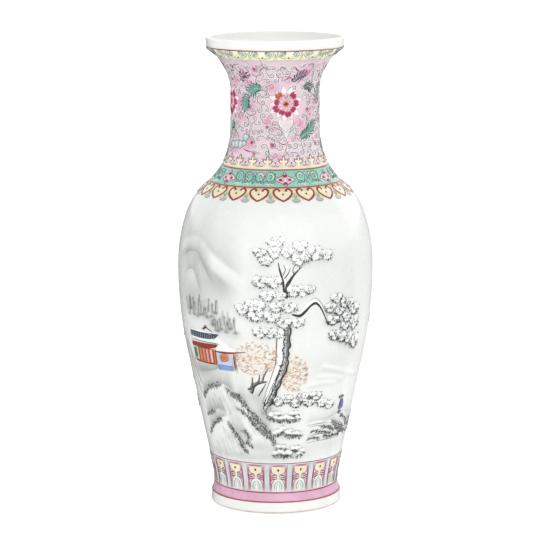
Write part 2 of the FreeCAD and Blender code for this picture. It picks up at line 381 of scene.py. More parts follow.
class Nodes:
    """A short way to write a material's nodes."""

    def __init__(self, name):
        self.material = bpy.data.materials.new(name)
        self.material.use_nodes = True
        self.tree = self.material.node_tree
        self.shader = self.tree.nodes["Principled BSDF"]

    def add(self, kind, values=(), **settings):
        """A node with its settings, and the values of its sockets by their names."""
        node = self.tree.nodes.new(kind)
        for key, value in settings.items():
            setattr(node, key, value)
        for socket, value in values:
            node.inputs[socket].default_value = value
        return node

    def link(self, source, target):
        self.tree.links.new(source, target)

    def noise(self, scale, detail=3.0, roughness=0.5):
        """Soft random patches that keep their place on the piece."""
        where = self.add("ShaderNodeTexCoord")
        noise = self.add("ShaderNodeTexNoise", (("Scale", scale), ("Detail", detail),
                                                ("Roughness", roughness)))
        self.link(where.outputs["Object"], noise.inputs["Vector"])
        return noise.outputs["Fac"]

    def between(self, fac, low, high):
        """A number that follows fac from low to high."""
        limits = (("From Min", 0.3), ("From Max", 0.7), ("To Min", low), ("To Max", high))
        spread = self.add("ShaderNodeMapRange", limits)
        self.link(fac, spread.inputs["Value"])
        return spread.outputs["Result"]

    def mix(self, fac, first, second, blend="MIX"):
        """Two colours blended; each value is a number, a colour or another node's output."""
        node = self.add("ShaderNodeMix", data_type="RGBA", blend_type=blend)
        for socket, value in ((node.inputs[0], fac), (node.inputs[6], first), (node.inputs[7], second)):
            if hasattr(value, "links"):
                self.link(value, socket)
            elif isinstance(value, float):
                socket.default_value = value
            else:
                socket.default_value = (*value, 1.0)
        return node.outputs[2]

    def finish(self, colour, roughness, bump_scale, bump_mm, coat):
        """Links the colour and roughness, adds a fine bump and a glassy coat, and gives the material."""
        shader = self.shader.inputs
        self.link(colour, shader["Base Color"])
        self.link(roughness, shader["Roughness"])
        bump = self.add("ShaderNodeBump", (("Distance", bump_mm * MM), ("Strength", 0.5)))
        self.link(self.noise(bump_scale, 2.0), bump.inputs["Height"])
        self.link(bump.outputs["Normal"], shader["Normal"])
        shader["Coat Weight"].default_value = coat
        shader["Coat Roughness"].default_value = 0.12
        shader["Specular IOR Level"].default_value = 0.35
        return self.material


def enamel(name, colour, spread=0.12):
    """Painted enamel: one colour, thicker and thinner in patches, with fine brush grain."""
    nodes = Nodes(name)
    tint = linear(colour)
    thick = np.clip(tint * (1 - spread), 0, 1)
    thin = np.clip(tint * (1 + spread) + spread * 0.04, 0, 1)
    patchy = nodes.mix(nodes.between(nodes.noise(60.0, 4.0, 0.6), 0.0, 1.0), thick, thin)
    roughness = nodes.between(nodes.noise(180.0), 0.22, 0.4)
    return nodes.finish(patchy, roughness, 900.0, 0.03, 0.5)


def wash_material(name):
    """A ground whose colour is worked out vertex by vertex, with a fine grain over it."""
    nodes = Nodes(name)
    ground = nodes.add("ShaderNodeAttribute", attribute_name="wash").outputs["Color"]
    grain = nodes.between(nodes.noise(240.0, 4.0, 0.65), 0.985, 1.015)
    grey = nodes.add("ShaderNodeCombineColor")
    for channel in range(3):
        nodes.link(grain, grey.inputs[channel])
    colour = nodes.mix(1.0, ground, grey.outputs["Color"], "MULTIPLY")
    roughness = nodes.between(nodes.noise(80.0), 0.18, 0.3)
    return nodes.finish(colour, roughness, 700.0, 0.008, 0.7)


def glaze_material():
    """Clear glaze over white paste: glossy, faintly blue-white, with a soft orange-peel surface."""
    nodes = Nodes("clear_glaze")
    cool, warm = linear((251, 252, 251)), linear((247, 248, 243))
    colour = nodes.mix(nodes.between(nodes.noise(25.0, 4.0), 0.0, 1.0), cool, warm)
    roughness = nodes.between(nodes.noise(120.0, 2.0), 0.10, 0.2)
    return nodes.finish(colour, roughness, 350.0, 0.03, 0.8)


def paste_material():
    """Bare fired paste on the ring the vase stands on: matt, slightly sandy and stained."""
    nodes = Nodes("porcelain_paste")
    clean, stained = linear((226, 222, 212)), linear((188, 176, 156))
    colour = nodes.mix(nodes.between(nodes.noise(90.0, 6.0, 0.7), 0.0, 0.8), clean, stained)
    roughness = nodes.between(nodes.noise(300.0), 0.6, 0.9)
    return nodes.finish(colour, roughness, 1800.0, 0.15, 0.0)


# Grounds ------------------------------------------------------------------------------------------------


def turned_surface(piece, profile):
    """A surface turned from radii and heights in millimetres, walked with the clay on the left."""
    profile = np.asarray(profile, float)
    angle = np.radians(np.linspace(0, TURN, TURNED_COLUMNS, endpoint=False))
    r, z = profile[:, :1], profile[:, 1:]
    points = np.stack([r * np.sin(angle), -r * np.cos(angle), z + np.zeros_like(angle)], axis=-1)
    piece.grid(points * MM, closed=True)


def arc(centre_r, centre_z, bend, start, end, count=12):
    """Points of a rounded corner, from lean to lean, seen from its middle."""
    leans = np.radians(np.linspace(start, end, count))
    return [(centre_r + bend * math.cos(a), centre_z - bend * math.sin(a)) for a in leans]


def offset(lift, low, high):
    """The radii and heights of the skin at a lift, between two heights of the paste."""
    inside = (SKIN_Z >= low) & (SKIN_Z <= high)
    lean = SKIN_LEAN[inside]
    return list(zip(SKIN_R[inside] + lift * np.cos(lean), SKIN_Z[inside] - lift * np.sin(lean)))


def make_glaze():
    """Clear glaze up the outside, over the lip, down the inside and across the floor."""
    coat = Enamel("clear_glaze_coat")
    outer = offset(GLAZE, GROUND, 458.4)
    lean = math.radians(LIP_LEAN)
    lip_r = SKIN_R[-1] - LIP_ROUND * math.cos(lean)
    lip_z = SKIN_Z[-1] + LIP_ROUND * math.sin(lean)
    lip = arc(lip_r, lip_z, LIP_ROUND + GLAZE, LIP_LEAN, LIP_LEAN - 180.0, 16)
    inner = offset(-(WALL + GLAZE), WAIST, DISH_ROOT)[::-1]
    # The dish rounds from the inner face of the lip into the flare.
    low = np.array(inner[0])
    high = np.array(lip[-1]) - np.array([math.sin(lean), math.cos(lean)]) * LIP_INNER
    corner = np.array([high[0] - 0.25, low[1] + 0.9])
    t = np.linspace(0, 1, 10)[:, None]
    dish = (1 - t) ** 2 * high + 2 * t * (1 - t) * corner + t ** 2 * low
    round_r = inner[-1][0] - (WAIST - FLOOR - GLAZE)
    floor = arc(round_r, WAIST, WAIST - FLOOR - GLAZE, 0.0, 90.0, 8)
    middle = [(round_r * share, FLOOR + GLAZE) for share in np.linspace(1, 0.0005, 14)[1:]]
    profile = outer + lip[1:] + [tuple(point) for point in dish] + inner[1:] + floor[1:] + middle
    turned_surface(coat, profile)
    coat.build(glaze_material(), "clear_glaze", ["clear_glaze"])


def make_foot():
    """The bare ring the vase stands on, and the glazed recess inside it."""
    ring = Enamel("bare_foot_ring")
    side = [(FOOT_INNER, 4.0), (FOOT_INNER, FOOT_ROUND)]
    inner = arc(FOOT_INNER + FOOT_ROUND, FOOT_ROUND, FOOT_ROUND, 180.0, 90.0)
    outer = arc(FOOT_OUTER - FOOT_ROUND, FOOT_ROUND, FOOT_ROUND, 90.0, FOOT_LEAN)
    turned_surface(ring, side + inner + outer + [(FOOT_OUTER - 0.2, 4.0)])
    ring.build(paste_material(), "porcelain_paste", ["foot_ring"])
    recess = Enamel("recess_glaze_coat")
    ceiling = [(max(52.6 * share, 0.03), RECESS_ROOF) for share in np.linspace(0, 1, 16)]
    corner = arc(53.0, RECESS_ROOF - RECESS_ROUND, -RECESS_ROUND, -90.0, 0.0)
    turned_surface(recess, ceiling + corner + [(55.6, 3.5), (55.65, 1.9), (FOOT_INNER, 1.75)])
    recess.build(bpy.data.materials["clear_glaze"], "clear_glaze", ["base_glaze"])


# The viewing angle. The eye is in metres, the two angles are in degrees.
LENS = 165.6
SENSOR = 36.0
EYE = (0.0006, -2.4527, 0.6449)
LOOKS_DOWN = 9.712
ROLL = 0.14

# Soft lights: the way to each from the vase, its share of white and its spread in degrees.
LIGHTS = (
    ("dome", (0.0, 0.0, 1.0), 0.90, 170.0),
    ("key", (0.30, -0.90, 0.30), 0.13, 60.0),
    ("right", (0.6, 1.0, 0.10), 0.31, 90.0),
    ("left", (-0.6, 1.0, 0.10), 0.06, 90.0),
)
HALF_FLOOR = 30.0
FLOOR_GLOW = 0.36


def make_camera():
    """A long lens a little above the rim, looking slightly down."""
    data = bpy.data.cameras.new("camera")
    data.lens = LENS
    data.sensor_width = SENSOR
    data.clip_end = 50.0
    camera = bpy.data.objects.new("camera", data)
    camera.location = EYE
    camera.rotation_euler = (math.radians(90.0 - LOOKS_DOWN), math.radians(ROLL), 0.0)
    bpy.context.collection.objects.link(camera)
    bpy.context.scene.camera = camera


def soft_light(name, toward, share, spread):
    """A far, soft light. share is the brightness that it gives a white surface facing it."""
    data = bpy.data.lights.new(name, "SUN")
    data.energy = share * math.pi
    data.angle = math.radians(spread)
    light = bpy.data.objects.new(name, data)
    x, y, z = toward
    light.rotation_euler = (math.atan2(math.hypot(x, y), z), 0.0, math.atan2(x, -y))
    bpy.context.collection.objects.link(light)


def make_floor():
    """A plain white floor that doesn't show in the glaze."""
    mesh = bpy.data.meshes.new("floor")
    corners = [(x * HALF_FLOOR, y * HALF_FLOOR, 0.0) for x, y in ((-1, -1), (1, -1), (1, 1), (-1, 1))]
    mesh.from_pydata(corners, [], [(0, 1, 2, 3)])
    floor = bpy.data.objects.new("floor", mesh)
    bpy.context.collection.objects.link(floor)
    floor.visible_glossy = False
    nodes = Nodes("floor_paint")
    white, off = (0.93, 0.93, 0.93), (0.90, 0.90, 0.90)
    colour = nodes.mix(nodes.between(nodes.noise(6.0), 0.0, 1.0), white, off)
    shader = nodes.shader.inputs
    nodes.link(colour, shader["Base Color"])
    shader["Roughness"].default_value = 0.9
    shader["Specular IOR Level"].default_value = 0.1
    shader["Emission Color"].default_value = (1.0, 1.0, 1.0, 1.0)
    shader["Emission Strength"].default_value = FLOOR_GLOW
    mesh.materials.append(nodes.material)


def make_studio():
    """A white floor and plain soft light from above and in front."""
    world = bpy.data.worlds.new("studio")
    bpy.context.scene.world = world
    world.use_nodes = True
    background = world.node_tree.nodes["Background"]
    background.inputs["Color"].default_value = (1.0, 1.0, 1.0, 1.0)
    background.inputs["Strength"].default_value = 1.02
    world.cycles_visibility.diffuse = False
    world.cycles_visibility.glossy = False
    make_floor()
    for name, toward, share, spread in LIGHTS:
        soft_light(name, toward, share, spread)
    scene = bpy.context.scene
    scene.view_settings.view_transform = "Standard"
    scene.view_settings.look = "None"


# Painting -----------------------------------------------------------------------------------------------


PALETTE = {
    "iron_red": (168, 74, 60),
    "brown": (118, 92, 84),
    "dark_brown": (84, 58, 54),
    "magenta": (186, 58, 102),
    "wine": (128, 34, 58),
    "rose": (222, 150, 176),
    "pink": (230, 160, 190),
    "shell": (232, 220, 222),
    "blush": (240, 212, 222),
    "petal_white": (244, 238, 240),
    "white": (248, 246, 242),
    "cream": (242, 230, 200),
    "yellow": (236, 206, 118),
    "orange": (210, 112, 62),
    "teal": (112, 174, 158),
    "jade": (160, 206, 184),
    "leaf_edge": (52, 98, 92),
    "leaf_pale": (198, 224, 190),
    "blue": (126, 156, 200),
    "pale_blue": (190, 208, 226),
    "mist_blue": (204, 218, 222),
    "plum": (110, 84, 106),
    "violet": (148, 118, 158),
    "ink": (62, 64, 63),
    "grey": (128, 131, 129),
    "pale_grey": (186, 190, 187),
    "snow": (250, 252, 250),
    "roof_blue": (64, 78, 100),
    "roof_red": (152, 64, 46),
    "wall_orange": (206, 134, 98),
    "leaf_yellow": (238, 202, 140),
    "leaf_orange": (226, 150, 112),
    "leaf_red": (208, 104, 82),
    "robe_blue": (104, 106, 156),
    "slate": (116, 122, 118),
}


def paint_material(colour):
    """The enamel of a palette colour, made the first time that it is asked for."""
    name = colour + "_enamel_paint"
    return bpy.data.materials.get(name) or enamel(name, PALETTE[colour])


class Band:
    """One band of the painting, with a piece for each colour used in it."""

    def __init__(self, name, slot, nodes):
        self.name, self.slot, self.nodes = name, slot, nodes
        self.pieces = {}

    def __getitem__(self, colour):
        if colour not in self.pieces:
            self.pieces[colour] = Enamel(f"{self.name}_{colour}")
        return self.pieces[colour]

    def build(self):
        for colour, piece in self.pieces.items():
            piece.build(paint_material(colour), self.slot, self.nodes)


def moved(points, angle, z=0.0, side=1):
    """Places given about a middle, moved to it, or their mirror image when side is -1."""
    return [(angle + side * a, z + b) for a, b in points]


def mover(angle, side=1):
    """A function that moves places given about the front to an angle."""
    return lambda *points: moved(points, angle, 0.0, side)


def draw_strokes(band, at, strokes):
    """Strokes from rows of colour, width, lift and places. at puts the places on the vase."""
    for colour, width, lift, *points in strokes:
        band[colour].stroke(at(*points), width, lift)


def about(angle, z, points, size=1.0, turn=0.0, mirror=1.0):
    """Millimetres across and up the skin about a middle, as places on the vase."""
    scale = degree(z)
    upright = math.cos(lean_at(z))
    cosine, sine = math.cos(math.radians(turn)), math.sin(math.radians(turn))
    out = []
    for x, y in points:
        x, y = x * size * mirror, y * size
        out.append((angle + (x * cosine - y * sine) / scale, z + (x * sine + y * cosine) * upright))
    return out


def oval(wide, tall, count=10, x=0.0, y=0.0):
    """The outline of an oval with its middle at x, y."""
    return [(x + wide * math.cos(k * math.tau / count), y + tall * math.sin(k * math.tau / count))
            for k in range(count)]


def spiral(outer, inner, turns, start, count):
    """A spiral that winds in from its start angle."""
    out = []
    for k in range(count):
        share = k / (count - 1)
        r = outer + (inner - outer) * share
        turned = math.radians(start) + share * turns * math.tau
        out.append((r * math.cos(turned), r * math.sin(turned)))
    return out


def scalloped(level, depth, first, count):
    """An edge that swings down and up count times round the vase."""
    return lambda angle: level + depth * np.cos(np.radians((angle - first) * count))


def wavering(level, depth, count, start):
    """An edge that is a little off level, as a hand paints it."""
    return lambda angle: level + depth * np.sin(np.radians(angle) * count + start)


def middles(count, first):
    """The angles of count motifs in an even row, from the first."""
    return [first + TURN / count * k for k in range(count)]


def start_band(node, slot, paint, colour, spread, low, high, columns, lift=ENAMEL):
    """The ground of a band, and the band that gathers the motifs on it."""
    ground = Enamel(node + "_ground")
    ground.ring(low, high, lift, columns)
    ground.build(enamel(paint, colour, spread), slot, [node])
    return Band(node, slot, [node])


# Line bands and the pink foot ----------------------------------------------------------------------------


RED_LINES = (
    ("foot_lower_red_line", 10.6, 11.6),
    ("foot_upper_red_line", 19.9, 20.9),
    ("shoulder_red_line", 319.1, 320.1),
    ("neck_red_line", 334.8, 335.8),
    ("rim_red_line", 449.9, 450.7),
)


def make_red_lines():
    """The five red lines, each one a little off level."""
    for node, low, high in RED_LINES:
        line = Enamel(node + "_painted")
        start = random.Random(node).uniform(0, math.tau)
        line.ring(wavering(low, 0.10, 3, start), wavering(high, 0.12, 5, start), LINE, rows=4)
        line.build(paint_material("iron_red"), "iron_red_enamel", [node])


def make_foot_band():
    """The plain pink band between the two lines of the foot."""
    start_band("foot_pink_band", "pink_enamel", "pink_enamel_paint", (226, 176, 202), 0.07, 11.3, 20.2, 360)


# Lappets round the foot ----------------------------------------------------------------------------------


LAPPETS = 18
FIRST_LAPPET = 2.0
LAPPET_FRAME = (
    ("magenta", 0.8, LINE, (6.9, 22.0), (7.1, 35.0), (6.9, 48.8)),
    ("blush", 1.0, FILL, (7.8, 22.0), (8.0, 35.0), (7.8, 49.8)),
    ("rose", 0.7, FILL, (6.2, 24), (6.3, 35), (6.2, 46)),
    ("brown", 0.55, LINE, (5.9, 47.7), (5.9, 42.4), (4.4, 40.2), (1.6, 39.0), (1.5, 36.4), (1.7, 34.9)),
    ("brown", 0.55, LINE, (0.6, 34.9), (3.0, 34.0), (5.0, 31.0), (5.9, 27.0), (6.0, 22.0)),
)
LAPPET_BELL = (
    ("jade", 0.9, DETAIL, (2.8, 22.6), (2.8, 27.4), (1.5, 30.6), (0.0, 31.8)),
    ("slate", 0.35, LINE, (3.4, 22.6), (3.4, 27.6), (1.9, 31.2), (0.0, 32.5)),
    ("slate", 0.4, LINE, (1.5, 22.6), (1.4, 27.0), (0.3, 29.8)),
    ("jade", 0.5, DETAIL, (4.6, 22.6), (4.5, 27.0), (3.6, 30.6)),
)


def draw_lappet(band, middle):
    """One framed panel: a shield with a dot over a striped bell, with three strokes at each side."""
    at = mover(middle)
    shield = at((-5.3, 47.4), (5.3, 47.4), (5.5, 42.6), (4.2, 40.6), (1.5, 39.6), (-1.5, 39.6), (-4.2, 40.6),
                (-5.5, 42.6))
    bell = at((-5.7, 22.2), (-5.6, 27.0), (-4.8, 31.0), (-2.9, 33.8), (0.0, 34.8), (2.9, 33.8), (4.8, 31.0),
              (5.6, 27.0), (5.7, 22.2))
    band["cream"].blob(shield, FILL, 0.06, smooth=False)
    band["white"].blob(bell, FILL, 0.06, smooth=False)
    band["cream"].strip(at((-1.4, 34.0), (0, 34.0), (1.4, 34.0)), at((-1.4, 40.4), (0, 40.4), (1.4, 40.4)),
                        FILL)
    band["magenta"].stroke(at((-6.9, 48.7), (0, 48.9), (6.9, 48.7)), 0.7, LINE)
    band["brown"].stroke(at((-5.9, 47.7), (0, 47.9), (5.9, 47.7)), 0.5, LINE)
    for side in (-1, 1):
        at = mover(middle, side)
        draw_strokes(band, at, LAPPET_FRAME)
        for k in range(3):
            stroke = at((6.8, 33.0 + 2.1 * k), (4.6, 34.4 + 2.0 * k), (2.3, 34.9 + 1.9 * k))
            band["wine"].stroke(stroke, [0.5, 1.0, 0.5], TOP)
        draw_strokes(band, at, LAPPET_BELL)
    band["dark_brown"].blob(moved(oval(0.8, 1.3), middle, 43.9), TOP, 0.2)


def draw_lappet_bar(band, middle):
    """The pale bar between two panels, with a white and a dark line at each side."""
    at = mover(middle)
    low = at((-1.3, 21.4), (0.0, 21.4), (1.3, 21.4))
    high = at((-1.3, 50.2), (0.0, 50.2), (1.3, 50.2))
    band["mist_blue"].strip(low, high, FILL)
    for side in (-1, 1):
        draw_strokes(band, mover(middle, side), (("white", 0.6, DETAIL, (1.6, 21.6), (1.6, 50.0)),
                                                 ("slate", 0.35, LINE, (2.1, 21.6), (2.1, 50.0))))


def make_lappets():
    """A row of framed panels over the foot, with a brown line above."""
    band = start_band("lappet_band", "magenta_enamel", "lappet_ground", (236, 218, 226), 0.06, 20.6, 50.9,
                      360)
    for middle in middles(LAPPETS, FIRST_LAPPET):
        draw_lappet(band, middle)
        draw_lappet_bar(band, middle + TURN / LAPPETS / 2)
    band["brown"].ring(50.4, 51.0, DETAIL, rows=2)
    band.build()


# Collar of hearts under the shoulder line ----------------------------------------------------------------


HEARTS = 19
FIRST_HEART = 6.0


def draw_heart(band, middle):
    """A cream heart with a red and a wine outline, and a dot."""
    heart = [(0.0, 308.4), (3.4, 310.7), (6.3, 313.4), (7.4, 316.0), (6.3, 318.0), (3.4, 317.9),
             (0.0, 316.4)]
    outline = heart + [(-a, z) for a, z in heart[-2:0:-1]]
    band["cream"].blob(moved(outline, middle), FILL, 0.12)
    for side in (-1, 1):
        draw_strokes(band, mover(middle, side), (
            ("iron_red", [0.8, 1.2, 1.4, 1.4, 1.3, 1.2, 1.0], DETAIL, (3.0, 315.9), (3.2, 317.9),
             (5.4, 318.6), (7.6, 316.8), (6.9, 313.4), (3.6, 310.2), (0.0, 307.9)),
            ("wine", [2.2, 2.0, 1.8, 1.3, 1.2, 1.2, 1.0], TOP, (2.6, 316.4), (3.0, 317.7), (5.0, 318.3),
             (7.0, 316.6), (6.5, 313.8), (3.5, 310.8), (0.0, 308.5)),
            ("brown", 0.4, LINE, (8.0, 313.4), (9.0, 311.4), (9.47, 310.9))))
    band["dark_brown"].blob(moved(oval(0.75, 0.85), middle, 314.0), TOP, 0.25)


def draw_heart_gap(band, middle):
    """The small drop, bow and bead between two hearts."""
    band["pale_grey"].blob(moved(oval(3.2, 1.7), middle, 309.0), ENAMEL, 0.05)
    band["jade"].blob(moved(oval(1.5, 2.2), middle, 312.6), FILL, 0.1)
    bow = moved([(-3.6, 309.6), (-2.2, 307.6), (0.0, 307.0), (2.2, 307.6), (3.6, 309.6)], middle)
    band["slate"].stroke(bow, 0.45, DETAIL)
    band["cream"].blob(moved(oval(0.8, 0.9), middle, 316.6), DETAIL, 0.15)


def make_collar():
    """The yellow collar of hearts, with a scalloped lower edge."""
    low = scalloped(309.9, -1.5, FIRST_HEART, HEARTS)
    band = start_band("ruyi_collar", "yellow_enamel", "collar_ground", (231, 213, 158), 0.10, low, 319.3,
                      570)
    for middle in middles(HEARTS, FIRST_HEART):
        draw_heart(band, middle)
        draw_heart_gap(band, middle + TURN / HEARTS / 2)
    band.build()


# Turquoise cloud band ------------------------------------------------------------------------------------


DIAMONDS = (9.5, 58.0, 109.0, 160.0, 211.0, 262.0, 309.0)


def draw_diamond_flower(band, middle):
    """A four-pointed pink flower with a magenta spot in each petal."""
    petals = [(0.0, 333.0), (2.4, 330.0), (5.6, 328.8), (9.8, 326.4), (5.6, 324.2), (2.6, 322.8),
              (0.0, 320.8), (-2.6, 322.8), (-5.6, 324.2), (-9.4, 326.4), (-5.6, 328.8), (-2.4, 330.0)]
    band["blush"].blob(moved(petals, middle), FILL, 0.15)
    band["brown"].stroke(moved(petals, middle), 0.8, LINE, closed=True)
    for side in (-1, 1):
        for z in (328.2, 324.6):
            band["brown"].stroke(moved([(1.2, 326.4), (2.6, z), (3.2, z + 0.2)], middle, 0.0, side), 0.5,
                                 TOP)
    for da, z, wide, tall in ((0.0, 329.6, 2.2, 1.7), (0.0, 323.3, 2.2, 1.5), (4.4, 326.3, 2.1, 1.4),
                              (-4.4, 326.3, 2.1, 1.4)):
        band["magenta"].blob(moved(oval(wide, tall), middle + da, z), DETAIL, 0.2)
        band["wine"].blob(moved(oval(wide * 0.55, tall * 0.55), middle + da, z), TOP, 0.2)
    band["cream"].blob(moved(oval(1.3, 1.1), middle, 326.3), TOP, 0.25)


CLOUD_LINES = (
    (0.8, (2.4, 329.4), (1.4, 332.4), (-2.4, 333.2), (-5.2, 330.2), (-4.3, 326.4), (-0.8, 325.2)),
    (0.6, (1.0, 329.2), (-0.2, 330.6), (-2.0, 330.6), (-2.6, 329.0), (-1.4, 327.6), (0.4, 328.0)),
    (0.75, (-5.8, 322.4), (-4.4, 325.2), (-2.6, 323.2), (-1.2, 325.6), (0.6, 323.4), (2.4, 326.0),
     (4.4, 324.2), (5.8, 322.2)),
    (0.65, (2.8, 326.8), (4.2, 329.6), (6.4, 328.6), (6.0, 326.2), (4.8, 326.6)),
    (0.5, (-6.4, 332.8), (-5.6, 331.4), (-6.6, 328.8)),
)


def draw_cloud(band, middle, side, rng):
    """A pair of C-scrolls over a row of small cloud humps."""
    at = mover(middle, side)
    scroll = at((1.8, 330.0), (0.6, 331.6), (-2.2, 331.8), (-3.8, 329.8), (-3.2, 327.2), (-1.0, 326.4))
    band[rng.choice(("jade", "blush", "leaf_pale"))].stroke(scroll, [0.9, 1.7, 2.1, 2.1, 1.6, 0.8], FILL)
    for width, *points in CLOUD_LINES:
        band[rng.choice(("brown", "leaf_edge", "slate"))].stroke(at(*points), width, LINE)
    foot = at((-4.8, 321.9), (-1.6, 322.6), (1.6, 322.8), (5.0, 321.9))
    band["leaf_pale"].stroke(foot, [0.8, 1.6, 1.6, 0.8], FILL)
    band["blush"].blob(at(*moved(oval(1.1, 1.0), 4.8, 331.6)), DETAIL, 0.15)
    band["leaf_edge"].stroke(at(*oval(1.4, 1.2, 8, 4.8, 331.6)), 0.45, LINE, closed=True)
    band["blush"].blob(at(*moved(oval(0.8, 0.8), 0.8, 321.6)), DETAIL, 0.15)


def make_cloud_band():
    """Pink flowers with rows of cloud scrolls between them, facing each flower."""
    band = start_band("turquoise_cloud_band", "turquoise_enamel", "turquoise_ground", (142, 202, 186), 0.12,
                      319.8, 335.1, 360)
    rng = random.Random(5)
    for middle, after in zip(DIAMONDS, DIAMONDS[1:] + (DIAMONDS[0] + TURN,)):
        draw_diamond_flower(band, middle)
        room = after - middle - 20.0
        clouds = max(2, round(room / 11.5))
        for k in range(clouds):
            side = 1 if k < clouds / 2 else -1
            draw_cloud(band, middle + 10.0 + room * (k + 0.5) / clouds, side, rng)
    band.build()


# Cream band of trefoils ----------------------------------------------------------------------------------


TREFOILS = 20
FIRST_TREFOIL = 9.5


def draw_trefoil(band, middle):
    """A cream trefoil on a stalk with a brown outline."""
    trefoil = [(0.0, 348.6), (1.5, 346.4), (1.3, 344.2), (3.8, 345.0), (5.0, 343.2), (3.9, 341.6),
               (1.7, 341.2), (1.9, 338.6), (-1.9, 338.6), (-1.7, 341.2), (-3.9, 341.6), (-5.0, 343.2),
               (-3.8, 345.0), (-1.3, 344.2), (-1.5, 346.4)]
    band["cream"].blob(moved(trefoil, middle), DETAIL, 0.12)
    band["brown"].stroke(moved(trefoil[9:] + trefoil[:8], middle), 0.8, TOP)


def draw_trefoil_gap(band, middle):
    """The bow, bead and two curls between two trefoils."""
    bow = [(-4.4, 340.2), (-3.6, 338.8), (-1.6, 338.4), (0.0, 340.2), (1.6, 338.4), (3.6, 338.8),
           (4.4, 340.2)]
    band["slate"].stroke(moved(bow, middle), 0.5, LINE)
    band["wine"].blob(moved(oval(0.8, 0.8), middle, 341.8), LINE, 0.2)
    for side in (-1, 1):
        curl = mover(middle, side)((1.6, 345.2), (3.4, 345.8), (4.2, 344.2), (3.0, 343.2), (2.2, 344.0))
        band["white"].stroke(curl, 0.8, DETAIL)
        band["brown"].stroke(curl, 0.5, TOP)


def make_trefoils():
    """The cream band, with a scalloped upper edge."""
    high = scalloped(339.0, 0.8, FIRST_TREFOIL, TREFOILS)
    band = start_band("cream_trefoil_band", "cream_enamel", "cream_ground", (238, 227, 197), 0.06, 335.5,
                      high, 600, FILL)
    for middle in middles(TREFOILS, FIRST_TREFOIL):
        draw_trefoil(band, middle)
        draw_trefoil_gap(band, middle + TURN / TREFOILS / 2)
    band.build()


# Scrolls under the lip -----------------------------------------------------------------------------------


SCROLLS = 15
FIRST_SCROLL = 12.6
SCROLL_FOOT = 442.2


def draw_rim_scroll(band, middle, side, colour):
    """A spiral scroll with two drops and a leaf outside it, given about the foot of the band."""
    def at(points):
        return about(middle, SCROLL_FOOT, points, mirror=side)

    for x, y, fill in ((4.4, 9.4, colour), (6.6, 6.8, "jade")):
        band[fill].blob(at(oval(1.3, 1.9, 8, x, y)), FILL, 0.12)
    scroll = [(x + 5.4, y + 8.0) for x, y in spiral(3.7, 0.8, 1.5, -110.0, 18)]
    band["slate"].stroke(at([(1.4, 0.8), (3.0, 2.6)] + scroll), 0.42, LINE)
    leaf = at([(2.2, 0.4), (6.8, 2.6), (10.2, 6.4), (9.9, 10.8), (8.2, 12.4)])
    band["leaf_pale"].stroke(leaf, [0.6, 1.3, 1.5, 1.2, 0.5], FILL)
    band["slate"].stroke(leaf, 0.36, LINE)
    band["slate"].stroke(at([(11.2, 0.8), (11.6, 5.0), (12.6, 9.0)]), 0.36, LINE)


def make_rim_scrolls():
    """Paired spirals under the lip, with beads between them."""
    low = scalloped(441.6, 0.35, FIRST_SCROLL, SCROLLS * 2)
    band = start_band("rim_scroll_band", "pale_yellow_enamel", "rim_ground", (242, 245, 206), 0.05, low,
                      450.0, 600)
    colours = ("teal", "pale_blue", "jade")
    for k, middle in enumerate(middles(SCROLLS, FIRST_SCROLL)):
        for side in (-1, 1):
            draw_rim_scroll(band, middle, side, colours[(k + (side > 0)) % 3])
        band["wine"].blob(about(middle, SCROLL_FOOT, oval(0.9, 1.1, 8, 0.0, 2.4)), LINE, 0.25)
        gap = middle + TURN / SCROLLS / 2
        band["orange"].blob(about(gap, SCROLL_FOOT, oval(0.7, 0.8, 8, 0.0, 11.8)), LINE, 0.2)
    band.build()


# Washes --------------------------------------------------------------------------------------------------


